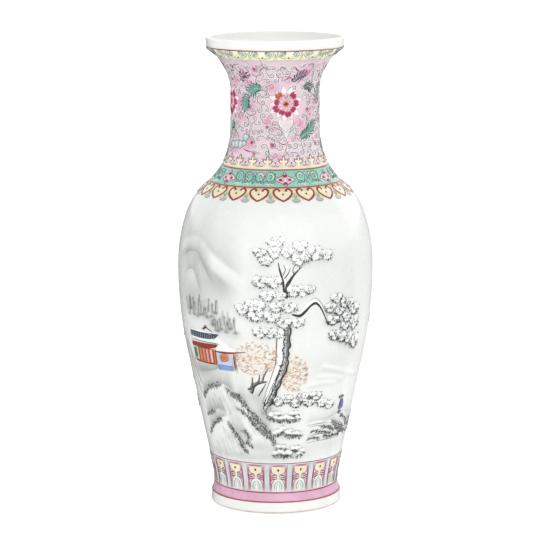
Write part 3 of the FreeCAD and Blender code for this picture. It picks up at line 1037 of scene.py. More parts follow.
class Wash:
    """Thin colour washed over a ground, worked out for each of its vertices."""

    def __init__(self, low, high, colour, columns, rows, seed):
        around = np.linspace(0, TURN, columns, endpoint=False)
        self.angle, self.z = np.meshgrid(around, np.linspace(low, high, rows))
        self.scale = degree(self.z)
        self.colour = np.broadcast_to(np.array(colour, float), (*self.z.shape, 3)).copy()
        random_values = np.random.default_rng(seed)
        self.grain = 0.65 * self.cloud(14.0, random_values) + 0.35 * self.cloud(5.0, random_values)

    def cloud(self, cell, random_values):
        """Soft random patches between 0 and 1, about a cell across in millimetres."""
        around = max(4, round(TURN * self.scale.mean() / cell))
        x = self.angle / TURN * around
        y = (self.z - self.z.min()) / cell
        lattice = random_values.random((int(y.max()) + 2, around))
        column, row = x.astype(int), y.astype(int)
        x, y = x - column, y - row
        x, y = x * x * (3 - 2 * x), y * y * (3 - 2 * y)
        following = (column + 1) % around
        low = lattice[row, column] * (1 - x) + lattice[row, following] * x
        high = lattice[row + 1, column] * (1 - x) + lattice[row + 1, following] * x
        return low * (1 - y) + high * y

    def near(self, middle):
        """The angle of every vertex, counted within half a turn of a middle."""
        return (self.angle - middle + HALF_TURN) % TURN - HALF_TURN + middle

    def lay(self, amount, colour):
        amount = np.clip(amount * (0.75 + 0.5 * self.grain), 0, 1)[..., None]
        self.colour += (np.array(colour, float) - self.colour) * amount

    def ridge(self, points, depth, strength, colour, rising=False, crisp=1.0, ends=4.0):
        """A wash that starts sharp along a crest and fades away below it, or above it when rising."""
        path = smooth_curve(points)[0]
        wide = self.near(path[:, 0].mean())
        crest = np.interp(wide, path[:, 0], path[:, 1])
        slope = np.interp(wide, path[:, 0], np.gradient(path[:, 1]) / np.gradient(path[:, 0])) / self.scale
        away = (self.z - crest if rising else crest - self.z) / np.sqrt(1 + slope ** 2)
        inside = np.clip(np.minimum(wide - path[0, 0], path[-1, 0] - wide) / ends, 0, 1)
        fade = np.clip(away / crisp, 0, 1) * np.exp(-np.maximum(away, 0) / depth)
        self.lay(strength * inside * fade, colour)

    def stroke(self, points, width, strength, colour):
        """A soft stroke along a path."""
        path = smooth_curve(points, step=3.0)[0]
        wide = self.near(path[:, 0].mean())
        nearest = np.full(self.z.shape, 1e9)
        for (a0, z0), (a1, z1) in zip(path, path[1:]):
            x, y = (wide - a0) * self.scale, self.z - z0
            run, rise = (a1 - a0) * self.scale, z1 - z0
            share = np.clip((x * run + y * rise) / (run ** 2 + rise ** 2), 0, 1)
            nearest = np.minimum(nearest, (x - share * run) ** 2 + (y - share * rise) ** 2)
        self.lay(strength * np.exp(-nearest / width ** 2), colour)

    def patch(self, angle, z, wide, tall, strength, colour):
        """A soft oval, in millimetres across and up."""
        x, y = (self.near(angle) - angle) * self.scale / wide, (self.z - z) / tall
        self.lay(strength * np.exp(-x ** 2 - y ** 2), colour)

    def sheet(self, name, lift):
        """The ground as a piece, sunk a little along its two edges."""
        piece = Enamel(name)
        heights = np.full(self.z.shape, lift)
        heights[0] -= SINK
        heights[-1] -= SINK
        piece.grid(place(self.angle, self.z, heights), closed=True, tint=linear(self.colour))
        return piece


# Winter landscape ----------------------------------------------------------------------------------------


SNOW_LIGHT = (240, 242, 239)
SKY = (222, 226, 222)
CREST = (252, 253, 251)
MIST = (253, 254, 252)
LEAF_GLOW = (250, 226, 196)
SHADE = (150, 155, 152)
DEEP = (96, 99, 97)


def draw_rocks(band, points, rng, thick, density, tilt=0.0):
    """Broken ink along a ridge, with short strokes pulled down from it."""
    path = smooth_curve(points, step=1.0)[0]
    count = int(len(path) * density)
    chosen = path[rng.integers(len(path), size=count)]
    for colour, share, down in (("ink", 0.8, 0.0), ("grey", 1.0, 1.0), ("snow", 0.35, -0.3)):
        some = chosen[:int(count * share)]
        scale = degree(some[:, 1])
        angle = some[:, 0] + rng.normal(0, thick, len(some)) / scale
        z = some[:, 1] + rng.normal(0, thick, len(some)) - down * thick
        band[colour].ticks(angle, z, rng.uniform(1.2, 3.4, len(some)), rng.uniform(0.4, 0.9, len(some)),
                           tilt + rng.normal(0, 35, len(some)), LINE)


def draw_needles(band, angle, z, x, y, length, tilt, rng, inky):
    """Needles at places given in millimetres about a middle, in two inks."""
    scale = degree(z)
    dark = rng.random(len(x)) < inky
    for colour, some in (("ink", dark), ("grey", ~dark)):
        band[colour].ticks(angle + x[some] / scale, z + y[some], length[some], 0.58, tilt[some], TOP + 0.12)


# Needles round a lump: from angle, to angle, how many, nearest and farthest reach, and the share in ink.
PAD_FRINGE = (
    (-195, 15, 12, 0.88, 1.18, 0.75),
    (20, 160, 2, 0.95, 1.1, 0.2),
    (-150, -30, 1, 0.5, 0.8, 0.1),
)


def draw_pad(band, left, right, low, high, rng, dark):
    """A cushion of pine needles: lumps of snow, each with a fringe of needles under and round it."""
    angle, z = (left + right) / 2, (low + high) / 2
    wide, tall = 1.08 * (right - left) / 2 * degree(z), 1.08 * (high - low) / 2
    across = max(2, round(wide / 3.9))
    lumps = [(wide * ((k + 0.5) / across * 2 - 1) * 0.82, 0.30 * tall) for k in range(across)]
    lumps += [(wide * ((k + 1.0) / across * 2 - 1) * 0.74, -0.34 * tall) for k in range(across - 1)]
    for k, (x, y) in enumerate(lumps):
        x += rng.uniform(-0.6, 0.6)
        y += rng.uniform(-0.7, 0.7) - 0.16 * tall * (x / wide) ** 2
        rx, ry = rng.uniform(3.6, 4.6), tall * rng.uniform(0.50, 0.62)
        band["snow"].blob(about(angle, z, oval(rx, ry, 8, x, y)), DETAIL + 0.04 * (k % 3), 0.22)
        for start, end, count, near, far, inky in PAD_FRINGE:
            turn = rng.uniform(start, end, int(count * dark + 0.5))
            reach = rng.uniform(near, far, len(turn))
            draw_needles(band, angle, z, x + rx * reach * np.cos(np.radians(turn)),
                         y + ry * reach * np.sin(np.radians(turn)), rng.uniform(1.0, 2.1, len(turn)),
                         90 - turn + rng.normal(0, 25, len(turn)), rng, inky)
    turn = rng.uniform(-170, -10, int(wide * 2.2 * dark))
    reach = rng.uniform(0.75, 1.05, len(turn))
    draw_needles(band, angle, z, wide * reach * np.cos(np.radians(turn)),
                 tall * reach * np.sin(np.radians(turn)), rng.uniform(1.2, 2.4, len(turn)),
                 90 - turn + rng.normal(0, 25, len(turn)), rng, 0.8)


# The left, right, low and high edges of each cushion, and how dark it is.
PINE_PADS = (
    (-6, 6, 268, 277, 0.35), (-13, -5, 258, 267, 1.0), (-9, -2, 250, 260, 1.1), (-4, 3, 257, 269, 0.8),
    (3, 10, 257, 267, 0.7), (9, 19, 250, 262, 0.9), (10, 19, 262, 274, 0.5), (17, 21, 253, 267, 1.2),
    (19, 29, 254, 268, 0.9), (27, 35, 253, 264, 0.9), (-13, -4, 229, 241, 1.1), (-6, 4, 229, 240, 0.9),
    (6, 14, 220, 231, 0.8), (12, 19, 220, 232, 0.7), (17, 23, 222, 231, 0.9), (-9, 0, 216, 227, 0.9),
    (-1, 7, 217, 226, 0.7), (-23, -16, 202, 213, 1.1), (-17, -6, 206, 218, 0.9), (-4, 5, 205, 216, 1.1),
    (3, 13, 204, 215, 0.8), (-17, -6, 196, 207, 1.1), (-8, 3, 195, 207, 0.9), (0, 10, 190, 200, 1.0),
    (8, 17, 190, 200, 0.8), (-13, -5, 180, 191, 1.0), (-7, 1, 180, 190, 0.8), (-1, 5, 180, 189, 0.7),
    (34, 42, 211, 221, 1.5), (40, 49, 205, 215, 1.6), (30, 38, 202, 212, 1.6), (36, 45, 198, 208, 1.5),
    (45, 52, 204, 214, 1.2), (48, 58, 196, 209, 1.5), (43, 51, 190, 201, 1.6), (49, 59, 182, 197, 1.3),
    (31, 41, 190, 200, 1.9), (42, 50, 182, 192, 1.2), (34, 42, 174, 185, 1.6), (40, 48, 171, 182, 1.5),
    (45, 54, 168, 180, 1.6), (52, 62, 162, 177, 1.4),
)


PINE_FORKS = (
    ("ink", [3.0, 2.4, 1.6, 0.6], LINE, (5.2, 224), (4.4, 236), (2.6, 245), (1.6, 253)),
    ("ink", [3.2, 3.6, 2.8, 1.8, 0.4], LINE, (6.4, 220), (6.0, 229), (8.0, 235), (11.0, 242), (15.5, 249)),
    ("ink", [1.0, 0.8, 0.3], LINE, (5.2, 238), (7.4, 243), (8.6, 248)),
    ("ink", [0.9, 0.7, 0.3], LINE, (10.6, 241), (10.0, 246), (11.4, 251)),
    ("ink", [0.8, 0.6, 0.3], LINE, (12.6, 244), (14.0, 248), (13.2, 251)),
    ("ink", [0.8, 0.6, 0.3], LINE, (4.0, 240), (5.6, 246), (4.6, 251)),
)


def draw_pine(wash, band, angle, rng):
    """The old pine: a leaning trunk on two roots, a long bent branch, and cushions of needles and snow."""
    at = mover(angle)
    trunk = at((6.6, 190), (6.5, 181), (6.4, 172), (6.0, 160), (5.4, 151), (3.8, 142), (0.9, 134),
               (-1.6, 124), (-4.8, 114), (-8.4, 105))
    snowy = at((3.4, 190), (3.0, 180), (2.7, 170), (2.2, 156), (0.4, 146), (-1.8, 136), (-4.4, 126),
               (-7.2, 114))
    wash.stroke(trunk, 4.2, 0.45, SHADE)
    wash.stroke(at((-13, 120), (-9, 112), (-6, 104)), 8.0, 0.35, SHADE)
    band["snow"].stroke(snowy, [5.0, 5.2, 5.4, 6.4, 5.6, 5.0, 4.2, 1.5], FILL, 0.25)
    band["pale_grey"].stroke(trunk, [4.8, 5.4, 6.2, 6.0, 6.4, 5.2, 4.6, 5.2, 6.0, 1.4], DETAIL, 0.2)
    band["grey"].stroke(moved(trunk, 0.4), [3.0, 3.6, 4.2, 4.0, 4.2, 3.4, 3.0, 3.4, 4.0, 0.8], DETAIL + 0.05,
                        0.2)
    for edge, thick in ((1.8, 1.7), (-1.6, 1.1)):
        wavy = [(a + edge + rng.uniform(-0.7, 0.7), z) for a, z in smooth_curve(trunk, step=5.0)[0][:-2]]
        band["ink"].stroke(wavy, thick * rng.uniform(0.7, 1.2, len(wavy)), LINE + 0.1)
    path = smooth_curve(trunk, step=2.6)[0]
    for a, z in path[1:-2]:
        a, z = a + rng.uniform(-1.3, 1.2), z + rng.uniform(-1.2, 1.2)
        size, turn = rng.uniform(0.4, 1.1), rng.uniform(-70, 60)
        if rng.random() < 0.7:
            knot = [(-1.8, 1.0), (-0.6, -1.0), (1.0, -0.6), (2.0, 1.0)]
            band["ink"].stroke(about(a, z, knot, size, turn), rng.uniform(0.5, 1.0), LINE + 0.2)
        band["snow"].blob(about(a - 0.7, z + 1.4, oval(0.8, 0.6, 6), size), LINE + 0.15, 0.15)
    draw_strokes(band, at, (
        ("grey", 0.5, LINE, (0.4, 188), (0.3, 170), (-0.2, 154), (-2.0, 145), (-4.2, 135)),
        ("ink", [1.3, 0.9, 0.8, 1.0, 1.5, 0.6], LINE, (3.4, 151), (1.2, 143), (-1.6, 134), (-4.4, 125),
         (-7.0, 116), (-8.8, 108)),
        ("ink", [0.8, 2.0, 1.2], LINE, (1.6, 153), (3.2, 152), (5.0, 154))))
    draw_rocks(band, at((-3.0, 122), (-6.0, 113), (-8.6, 105)), rng, 1.4, 1.6)
    band["grey"].stroke(moved(snowy, -2.1), [0.3, 0.5, 0.7, 0.6, 0.7, 0.6, 0.5, 0.2], LINE, 0.05)
    band["snow"].stroke(at((4.8, 222), (5.4, 232), (3.8, 242)), [4.0, 3.4, 1.0], FILL, 0.2)
    draw_strokes(band, at, PINE_FORKS)
    branch = at((9.5, 203), (14.0, 201.4), (17.2, 205), (20.2, 210), (23.0, 212.8), (25.2, 211.6),
                (27.6, 207), (29.6, 201), (31.4, 195), (32.8, 190))
    band["snow"].stroke(moved(branch, -0.4, 2.6), [1.5, 2.5, 3.4, 3.8, 4.2, 3.6, 2.6, 2.2, 2.0, 1.0], FILL,
                        0.25)
    band["ink"].stroke(branch, [1.4, 3.0, 2.6, 1.9, 2.6, 2.4, 1.9, 1.7, 1.6, 1.8], LINE)
    band["grey"].stroke(moved(branch[3:], -0.2, 4.9), 0.45, LINE)
    draw_strokes(band, at, (
        ("ink", 1.2, LINE, (32.2, 190.5), (34.0, 191.2), (36.5, 193), (40.0, 191.5), (43.0, 192.5)),
        ("grey", [0.9, 0.8, 0.6, 0.3], LINE, (41.0, 192), (44.0, 188), (47.0, 181), (52.0, 174))))
    for left, right, low, high, dark in PINE_PADS:
        wide, tall = (right - left) * 0.8, (high - low) / 2
        wash.patch(angle + (left + right) / 2, low + tall * 0.6, wide, tall, 0.30 * dark, SHADE)
        draw_pad(band, angle + left, angle + right, low, high, rng, dark)


def draw_snow_bush(wash, band, left, right, low, high, rng):
    """A low bush under snow, with needles fanned out below it in clumps."""
    angle, z = (left + right) / 2, (low + high) / 2
    scale = degree(z)
    wide, tall = (right - left) / 2 * scale, (high - low) / 2
    wash.patch(angle, z - tall * 0.3, wide, tall * 0.7, 0.35, SHADE)
    clumps = max(5, int(wide * tall / 8.0))
    for k in range(clumps):
        x = wide * ((k + 0.5) / clumps * 2 - 1) + rng.uniform(-1, 1)
        y = tall * (rng.uniform(-0.5, 0.7) - 0.4 * (x / wide) ** 2)
        lump = oval(rng.uniform(2.4, 3.6), rng.uniform(1.4, 2.1), 8, x, y + 2.2)
        band["snow"].blob(about(angle, z, lump), TOP + 0.06, 0.2)
        turn = rng.uniform(-85, 85, 16)
        reach = rng.uniform(1.6, 4.2, 16)
        draw_needles(band, angle, z, x + reach * np.sin(np.radians(turn)),
                     y - reach * np.cos(np.radians(turn)), rng.uniform(1.6, 3.0, 16), -turn, rng, 0.5)
        turn = rng.uniform(-70, 70, 4)
        draw_needles(band, angle, z, x + 2.4 * np.sin(np.radians(turn)),
                     y + 1.8 + 1.8 * np.cos(np.radians(turn)), rng.uniform(0.8, 1.5, 4), turn, rng, 0.1)


# The share of the leaves in each colour, from and to.
LEAF_SHARES = (
    ("leaf_yellow", 0.0, 0.34),
    ("leaf_orange", 0.34, 0.76),
    ("leaf_red", 0.76, 0.93),
    ("grey", 0.93, 1.0),
)


def draw_leaves(wash, band, left, right, low, high, count, rng):
    """Autumn leaves left on a bush: short slanted dabs of yellow, orange and red."""
    angle = rng.uniform(left, right, count)
    inside = 1 - ((angle - (left + right) / 2) / (right - left) * 2) ** 2
    z = low + (high - low) * (0.5 + (rng.random(count) - 0.5) * np.sqrt(np.clip(inside, 0.1, 1)))
    tilt = 66 * np.sign(rng.random(count) - 0.3) + rng.normal(0, 16, count)
    colour = rng.random(count)
    for name, start, end in LEAF_SHARES:
        some = (colour >= start) & (colour < end)
        band[name].ticks(angle[some], z[some], rng.uniform(1.6, 3.2, some.sum()), 0.42, tilt[some], LINE)
    wash.patch((left + right) / 2, (low + high) / 2, (right - left) * 0.7, (high - low) * 0.42, 0.30,
               LEAF_GLOW)


def draw_tree_row(wash, band, left, right, low, high, rng):
    """A far row of bare trees: soft upright dashes with a few dark tips and feet."""
    count = int((right - left) * 1.3)
    for k in range(count):
        angle = left + (right - left) * (k + rng.uniform(0.1, 0.9)) / count
        foot = low + rng.uniform(-1, 7)
        top = foot + (high - low) * rng.uniform(0.25, 0.75)
        lean = rng.uniform(-1.2, 1.2)
        wash.stroke([(angle, foot), (angle + lean, top)], 0.9, rng.uniform(0.12, 0.34), DEEP)
        if k % 3 == 0:
            band["grey"].stroke([(angle, foot), (angle + lean, top)], [0.3, 0.5, 0.2], LINE, 0.05)
            wash.patch(angle + lean, top, 1.2, 1.4, 0.5, DEEP)
        if k % 4 == 1:
            wash.patch(angle, foot, rng.uniform(2.0, 3.4), 1.5, 0.6, DEEP)
    wash.stroke([(left, low + 4), ((left + right) / 2, low), (right, low - 3)], 5.0, 0.22, SHADE)


def draw_pavilion(wash, band):
    """The riverside house: blue-grey roof under snow, red eaves, orange walls and a blue gate."""
    def box(colour, left, right, low, high, lift=DETAIL):
        band[colour].strip([(left, low), ((left + right) / 2, low), (right, low)],
                           [(left, high), ((left + right) / 2, high), (right, high)], lift, rows=2)

    at = mover(0.0)
    band["snow"].strip([(-63, 171), (-50, 171), (-40, 171), (-30, 164)],
                       [(-63, 181), (-50, 181), (-40, 179), (-29.5, 170)], FILL)
    band["snow"].strip([(-41, 163.5), (-33, 163.5), (-24, 163.5)], [(-37, 171), (-32, 170), (-27, 168)],
                       DETAIL)
    band["roof_blue"].strip([(-64, 173.6), (-52, 173.2), (-44, 174), (-39.5, 175.5)],
                            [(-64, 179), (-52, 179), (-44, 179), (-36.4, 179.8)], DETAIL)
    for k in range(12):
        band["pale_grey"].stroke([(-62.6 + 2 * k, 173.4), (-62.0 + 2 * k, 178.6)], 0.5, LINE, 0.05)
    band["ink"].stroke([(-64, 179.2), (-50, 179.2), (-36.2, 180)], 0.6, LINE)
    draw_strokes(band, at, (
        ("dark_brown", 1.0, LINE, (-50.6, 183), (-48.4, 184.4), (-46.6, 187), (-45.4, 184.6), (-41, 181.8)),
        ("dark_brown", 1.6, LINE, (-49, 182.2), (-47.2, 184.8), (-45.2, 185)),
        ("grey", 0.7, LINE, (-64, 170.4), (-48, 170.4), (-38, 170.4), (-34.5, 169.4))))
    band["roof_red"].strip([(-64, 164), (-54, 163.4), (-46, 163.6), (-40, 166.4)],
                           [(-64, 168), (-54, 168.6), (-46, 169.2), (-34.5, 169.9)], DETAIL)
    box("wall_orange", -64, -40.4, 149.5, 164, FILL)
    for column in (-56.4, -53.0, -49.6, -46.4, -42.4, -40.4):
        box("roof_red", column - 0.35, column + 0.35, 149, 164.5, LINE)
    box("leaf_pale", -64, -57.4, 151, 163.5)
    box("slate", -62.6, -59.0, 152, 162.5, LINE)
    box("rose", -48.8, -47.2, 150.5, 163)
    box("blush", -44.8, -43.6, 151, 163)
    band["roof_red"].stroke([(-40.6, 162.6), (-34, 162.4), (-27, 163.2), (-18.6, 164.9)],
                            [1.0, 2.2, 2.0, 0.4], LINE)
    box("pale_blue", -39.6, -28.4, 144.5, 161)
    box("blue", -39.6, -28.4, 144.5, 150, LINE)
    lantern = [(-3.2, 1.6), (0, 3.6), (3.4, 2.4), (3.0, -2.6), (0, -3.8), (-2.8, -2.4)]
    band["wall_orange"].blob(moved(lantern, -34, 157.4), LINE, 0.15)
    band["orange"].blob(moved(oval(1.8, 1.8), -33.6, 157), TOP, 0.15)
    draw_strokes(band, at, (
        ("dark_brown", 0.5, TOP, (-37.4, 155.4), (-34, 153.2), (-30.6, 155.6)),
        ("dark_brown", 0.5, TOP, (-37.4, 159), (-36, 156), (-36.4, 152)),
        ("roof_red", 1.5, LINE, (-26.8, 162.5), (-26.8, 154), (-26.2, 145.6)),
        ("dark_brown", 0.5, LINE, (-25.9, 162), (-25.8, 154), (-25.2, 146)),
        ("roof_red", 1.4, LINE, (-64, 149.4), (-52, 149), (-40.4, 149.2))))
    wash.patch(-56, 140, 16, 6, 0.5, SHADE)


def draw_traveller(band, angle, z):
    """A small robed figure with a hat and a staff, seen far away."""
    def at(*points):
        return about(angle, z, points)

    robe = at((-3.6, -5), (-2.6, 3.6), (0, 5.6), (3, 3.4), (4.6, -3), (2, -5.6))
    band["robe_blue"].blob(robe, DETAIL, 0.25)
    band["slate"].blob(at(*oval(3.4, 2.0, 8, -0.6, -8.6)), DETAIL, 0.15)
    band["slate"].blob(at((-5.6, 7.2), (-2.4, 9.4), (0.4, 9.6), (3.0, 7.0), (-0.6, 6.0)), LINE, 0.2)
    draw_strokes(band, at, (
        ("ink", 0.7, TOP, (-5.8, 9.6), (-4.6, 6.4), (-2.6, 4.8)),
        ("ink", 0.5, TOP, (-1.8, 1.6), (1.2, 0.8), (3.8, 1.4)),
        ("ink", 0.6, TOP, (-1.0, -6.0), (-2.6, -10.4))))


def snow_hills(wash, band, rng, turn=0.0):
    """Near snow hills: white crests over grey hollows, with broken rock down their flanks."""
    at = mover(turn)
    for crest, depth, strength in (
            (at((-64, 134), (-58, 138), (-50, 140), (-44, 142), (-38, 146), (-30, 146), (-24, 141)), 11,
             0.8),
            (at((-64, 110), (-57, 120), (-52, 125), (-46, 128), (-40, 130), (-34, 127), (-28, 121)), 9, 0.8),
            (at((-64, 91), (-57, 97), (-50, 101), (-44, 103), (-38, 100)), 7, 0.75),
            (at((-64, 76), (-59, 82), (-55, 87), (-50, 91), (-45, 94), (-38, 96)), 7, 0.75),
            (at((-29, 121), (-24, 115), (-20, 106), (-15, 97), (-10, 90), (-6, 82), (-3, 76), (0, 70)), 6,
             0.7),
            (at((-38, 90), (-34, 82), (-31, 78), (-28.5, 72), (-26, 65), (-22, 60)), 12, 0.5)):
        wash.ridge(crest, depth, strength, SHADE, True)
    for start, fall, count in (((-56, 112), (-34, 118), 12), ((-44, 84), (-14, 92), 14),
                               ((-56, 70), (-34, 78), 10)):
        for share in np.linspace(0, 1, count):
            a = turn + start[0] + (fall[0] - start[0]) * share + rng.uniform(-1, 1)
            z = start[1] + (fall[1] - start[1]) * share + rng.uniform(-4, 4)
            wash.stroke([(a, z), (a + 2 + 3 * share, z - rng.uniform(8, 18))], 1.3, 0.20, SHADE)
    for slope in (at((-76, 172), (-71, 156), (-66, 142), (-61, 126)), at((-72, 166), (-67, 152), (-62, 140)),
                  at((-70, 150), (-66, 138), (-63, 128)), at((-78, 160), (-73, 144), (-68, 128),
                                                             (-65, 116))):
        wash.stroke(slope, 1.8, 0.34, DEEP)
        wash.stroke(moved(slope, 1.8), 1.8, 0.35, CREST)
    wash.patch(turn - 30, 57, 60, 5, 0.30, SHADE)
    wash.patch(turn - 12, 68, 16, 6, 0.30, SHADE)
    for ridge, thick, density in (
            (at((-62, 113), (-57, 119), (-53, 123), (-47, 127), (-40, 129)), 1.0, 2.0),
            (at((-62, 94), (-57, 97), (-51, 100)), 0.8, 1.0),
            (at((-63, 76), (-59, 81), (-55, 86), (-50, 90), (-45, 93)), 0.9, 1.7),
            (at((-31, 121), (-27, 119), (-24, 114), (-20, 107), (-15, 98), (-10, 91), (-6, 83), (-3, 77),
                (0, 71)),
             1.5, 3.0),
            (at((-28, 106), (-22, 101), (-16, 91), (-11, 85), (-5, 78)), 1.0, 1.9),
            (at((-38, 90), (-34, 82), (-31, 78), (-28.5, 72), (-27, 66), (-24, 62)), 1.0, 2.4),
            (at((-28, 71), (-23, 71), (-19, 68)), 0.9, 1.8),
            (at((-25, 84), (-22, 80), (-22, 74)), 1.6, 1.6),
            (at((-36, 126), (-32, 122), (-29, 119)), 1.6, 0.8)):
        draw_rocks(band, ridge, rng, thick, density)
        wash.stroke(ridge, 0.6 + thick, 0.34, DEEP)


def far_mountains(wash, turn=0.0):
    """Far mountains: soft white crests against a grey sky, with grey folds beneath."""
    at = mover(turn)
    outer = at((-74, 262), (-66, 268), (-56, 271), (-48, 267), (-42, 260), (-36, 254), (-30, 248),
               (-24, 242), (-18, 237))
    wash.ridge(outer, 20, 0.36, SHADE, True, crisp=3.0, ends=10.0)
    wash.stroke(moved(outer, -1.0, -3.5), 3.4, 0.55, CREST)
    wash.ridge(moved(outer, -3.0, -9.0), 16, 0.60, SHADE, False, crisp=5.0, ends=12.0)
    inner = at((-70, 248), (-62, 255), (-54, 257), (-50, 252), (-46, 244), (-42, 235), (-38, 226))
    wash.ridge(inner, 9, 0.75, SHADE, True, crisp=1.2, ends=6.0)
    wash.ridge(at((-66, 232), (-60, 239), (-56, 239), (-53, 232), (-50, 222), (-47, 212)), 6, 0.65, SHADE,
               True, crisp=1.2, ends=4.0)
    wash.patch(turn - 56, 214, 22, 16, 0.42, SHADE)
    wash.patch(turn - 36, 228, 18, 12, 0.20, SHADE)


def snow_bank(wash, band, rng, turn=0.0):
    """A bank of snow at the water's edge: low white mounds with broken rock along their feet."""
    at = mover(turn)
    for crest, depth, strength in (
            (at((22, 91), (30, 92.4), (38, 92.4), (46, 94), (52, 96.4), (59, 97), (66, 93), (72, 88)), 4,
             0.42),
            (at((34, 85), (41, 90), (48, 91), (55, 87.4), (62, 84)), 3, 0.45),
            (at((44, 79), (50, 84.4), (57, 85.4), (64, 81), (70, 77)), 3, 0.45),
            (at((24, 76), (34, 77.4), (44, 77), (56, 75.4), (66, 74)), 3, 0.35)):
        wash.ridge(crest, depth, strength, SHADE, True)
    for foot, thick, density in (
            (at((29, 82.6), (35, 81.6), (41, 80), (47, 77.6)), 0.7, 1.6),
            (at((36, 86.4), (42, 85.4), (47, 83), (51, 80)), 0.9, 2.0),
            (at((48, 89.6), (54, 86), (60, 83), (66, 80)), 1.1, 2.4),
            (at((52, 82.6), (58, 80), (64, 77.6), (69, 75.4)), 1.1, 2.6),
            (at((41, 75.4), (48, 74.6), (55, 74.4), (60, 75)), 1.0, 2.4),
            (at((58, 94), (63, 91), (68, 87), (72, 84)), 1.0, 1.8),
            (at((26, 75), (31, 75.4), (37, 75)), 0.7, 1.2)):
        wash.stroke(foot, 1.3, 0.22, DEEP)
        band["ink"].stroke(foot, [0.2, 0.7 * thick, 0.4 * thick, 0.8 * thick, 0.2], TOP, 0.06)
        draw_rocks(band, foot, rng, thick, 0.85 * density, 70.0)
    for z, left, right in ((89, 24, 44), (87, 26, 38), (78, 28, 42), (71, 24, 60)):
        band["grey"].stroke(at((left, z), ((left + right) / 2, z + 0.8), (right, z)), [0.2, 0.5, 0.2], LINE,
                            0.06)
    wash.patch(turn + 44, 66, 30, 6, 0.15, SHADE)


def mist_lines(wash, turn=0.0):
    """Streaks of mist over the far water."""
    for line in (((33, 149), (45, 144), (56, 139), (70, 134)), ((30, 139), (42, 137), (50, 134)),
                 ((24, 132), (34, 133), (44, 131))):
        wash.stroke(moved(line, turn), 2.4, 0.6, MIST)
        wash.stroke(moved(line, turn, -3.4), 2.6, 0.13, SHADE)


# As PINE_PADS, for the shrubs by the near bank.
SHRUB_CUSHIONS = (
    (-2, 6, 111, 121, 1.3), (4, 12, 114, 123, 1.1), (10, 18, 109, 119, 1.5), (15, 23, 114, 124, 1.4),
    (20, 28, 109, 117, 1.2), (24, 34, 115, 124, 1.5), (30, 39, 107, 116, 1.0), (37, 46, 104, 113, 0.8),
    (176, 186, 110, 120, 1.2), (184, 194, 106, 115, 1.3), (260, 270, 118, 128, 1.0),
)


SNOW_BUSHES = (
    (-5, 17, 92, 106), (-1, 19, 76, 90), (-1, 22, 56, 72), (104, 124, 96, 108), (118, 146, 84, 98),
    (205, 226, 92, 106), (214, 236, 74, 88), (176, 200, 108, 120), (256, 276, 96, 108),
)
# The twigs under the front bush: the widths of each, then its places.
TWIGS = (
    ([1.4, 1.8, 2.6, 2.4, 0.8], (-19, 127), (-16.6, 129), (-15, 131), (-12, 134), (-6, 136)),
    ([2.6, 2.2, 1.4], (-17, 123.6), (-16, 126), (-14.6, 131)),
    ([1.2, 0.9, 0.4], (-16.4, 130), (-15.6, 135), (-15.4, 140)),
    ([1.0, 0.8, 0.3], (-12.6, 133), (-11, 138), (-10.6, 143)),
    ([1.0, 0.8, 0.3], (-9, 136), (-7.6, 142), (-4.8, 150)),
    ([0.5, 0.6, 0.3], (-12, 121), (-9, 128), (-6.6, 134)),
)


def make_landscape():
    """The winter scene on the body: the front as photographed, and the same motifs behind."""
    rng = np.random.default_rng(11)
    wash = Wash(50.4, 309.5, SNOW_LIGHT, 620, 260, 4)
    nodes = ["winter_landscape"]
    band = Band("winter_landscape", "landscape_wash", nodes)
    far_mountains(wash)
    far_mountains(wash, 150.0)
    for angle, z, wide, tall in ((48, 232, 52, 46), (40, 150, 40, 16), (140, 250, 90, 40),
                                 (240, 240, 80, 40)):
        wash.patch(angle, z, wide, tall, 0.6, SKY)
    draw_tree_row(wash, band, -64, -36, 196, 216, rng)
    draw_tree_row(wash, band, -41, -24, 184, 203, rng)
    draw_tree_row(wash, band, 88, 132, 176, 200, rng)
    mist_lines(wash)
    mist_lines(wash, 170.0)
    snow_hills(wash, band, rng)
    snow_hills(wash, band, rng, 190.0)
    snow_bank(wash, band, rng)
    snow_bank(wash, band, rng, 40.0)
    snow_bank(wash, band, rng, 165.0)
    draw_pavilion(wash, band)
    draw_leaves(wash, band, -26, 1, 141, 176, 330, rng)
    draw_leaves(wash, band, 3, 21, 124, 162, 260, rng)
    draw_leaves(wash, band, 152, 176, 128, 160, 240, rng)
    for width, *twig in TWIGS:
        band["grey"].stroke(twig, [1.5 * w for w in width], DETAIL)
        band["ink"].stroke(moved(twig, 0.4, -0.4), [0.8 * w for w in width], LINE)
    draw_pine(wash, band, 0.0, rng)
    draw_pine(wash, band, 208.0, rng)
    for left, right, low, high, dark in SHRUB_CUSHIONS:
        wash.patch((left + right) / 2, low + 3, 6, 4, 0.3, SHADE)
        draw_pad(band, left, right, low, high, rng, dark)
    for left, right, low, high in SNOW_BUSHES:
        draw_snow_bush(wash, band, left, right, low, high, rng)
    draw_traveller(band, 55.0, 106.0)
    ground = wash.sheet("winter_landscape_ground", ENAMEL - 0.1)
    ground.build(wash_material("landscape_wash"), "landscape_wash", nodes)
    band.build()


# Neck of lotus scrolls -----------------------------------------------------------------------------------


LOTUSES = 4
FIRST_LOTUS = 14.0
ROSE = (230, 208, 216)
PALE_ROSE = (244, 232, 238)
DEEP_ROSE = (222, 150, 184)
LILAC = (188, 166, 182)


# The turn and the size of each inner petal of a lotus.
LOTUS_PETALS = ((0, 0.80), (40, 1.04), (78, 0.88), (116, 1.04), (154, 0.90), (192, 1.0), (232, 0.90),
                (272, 1.02), (318, 1.06))


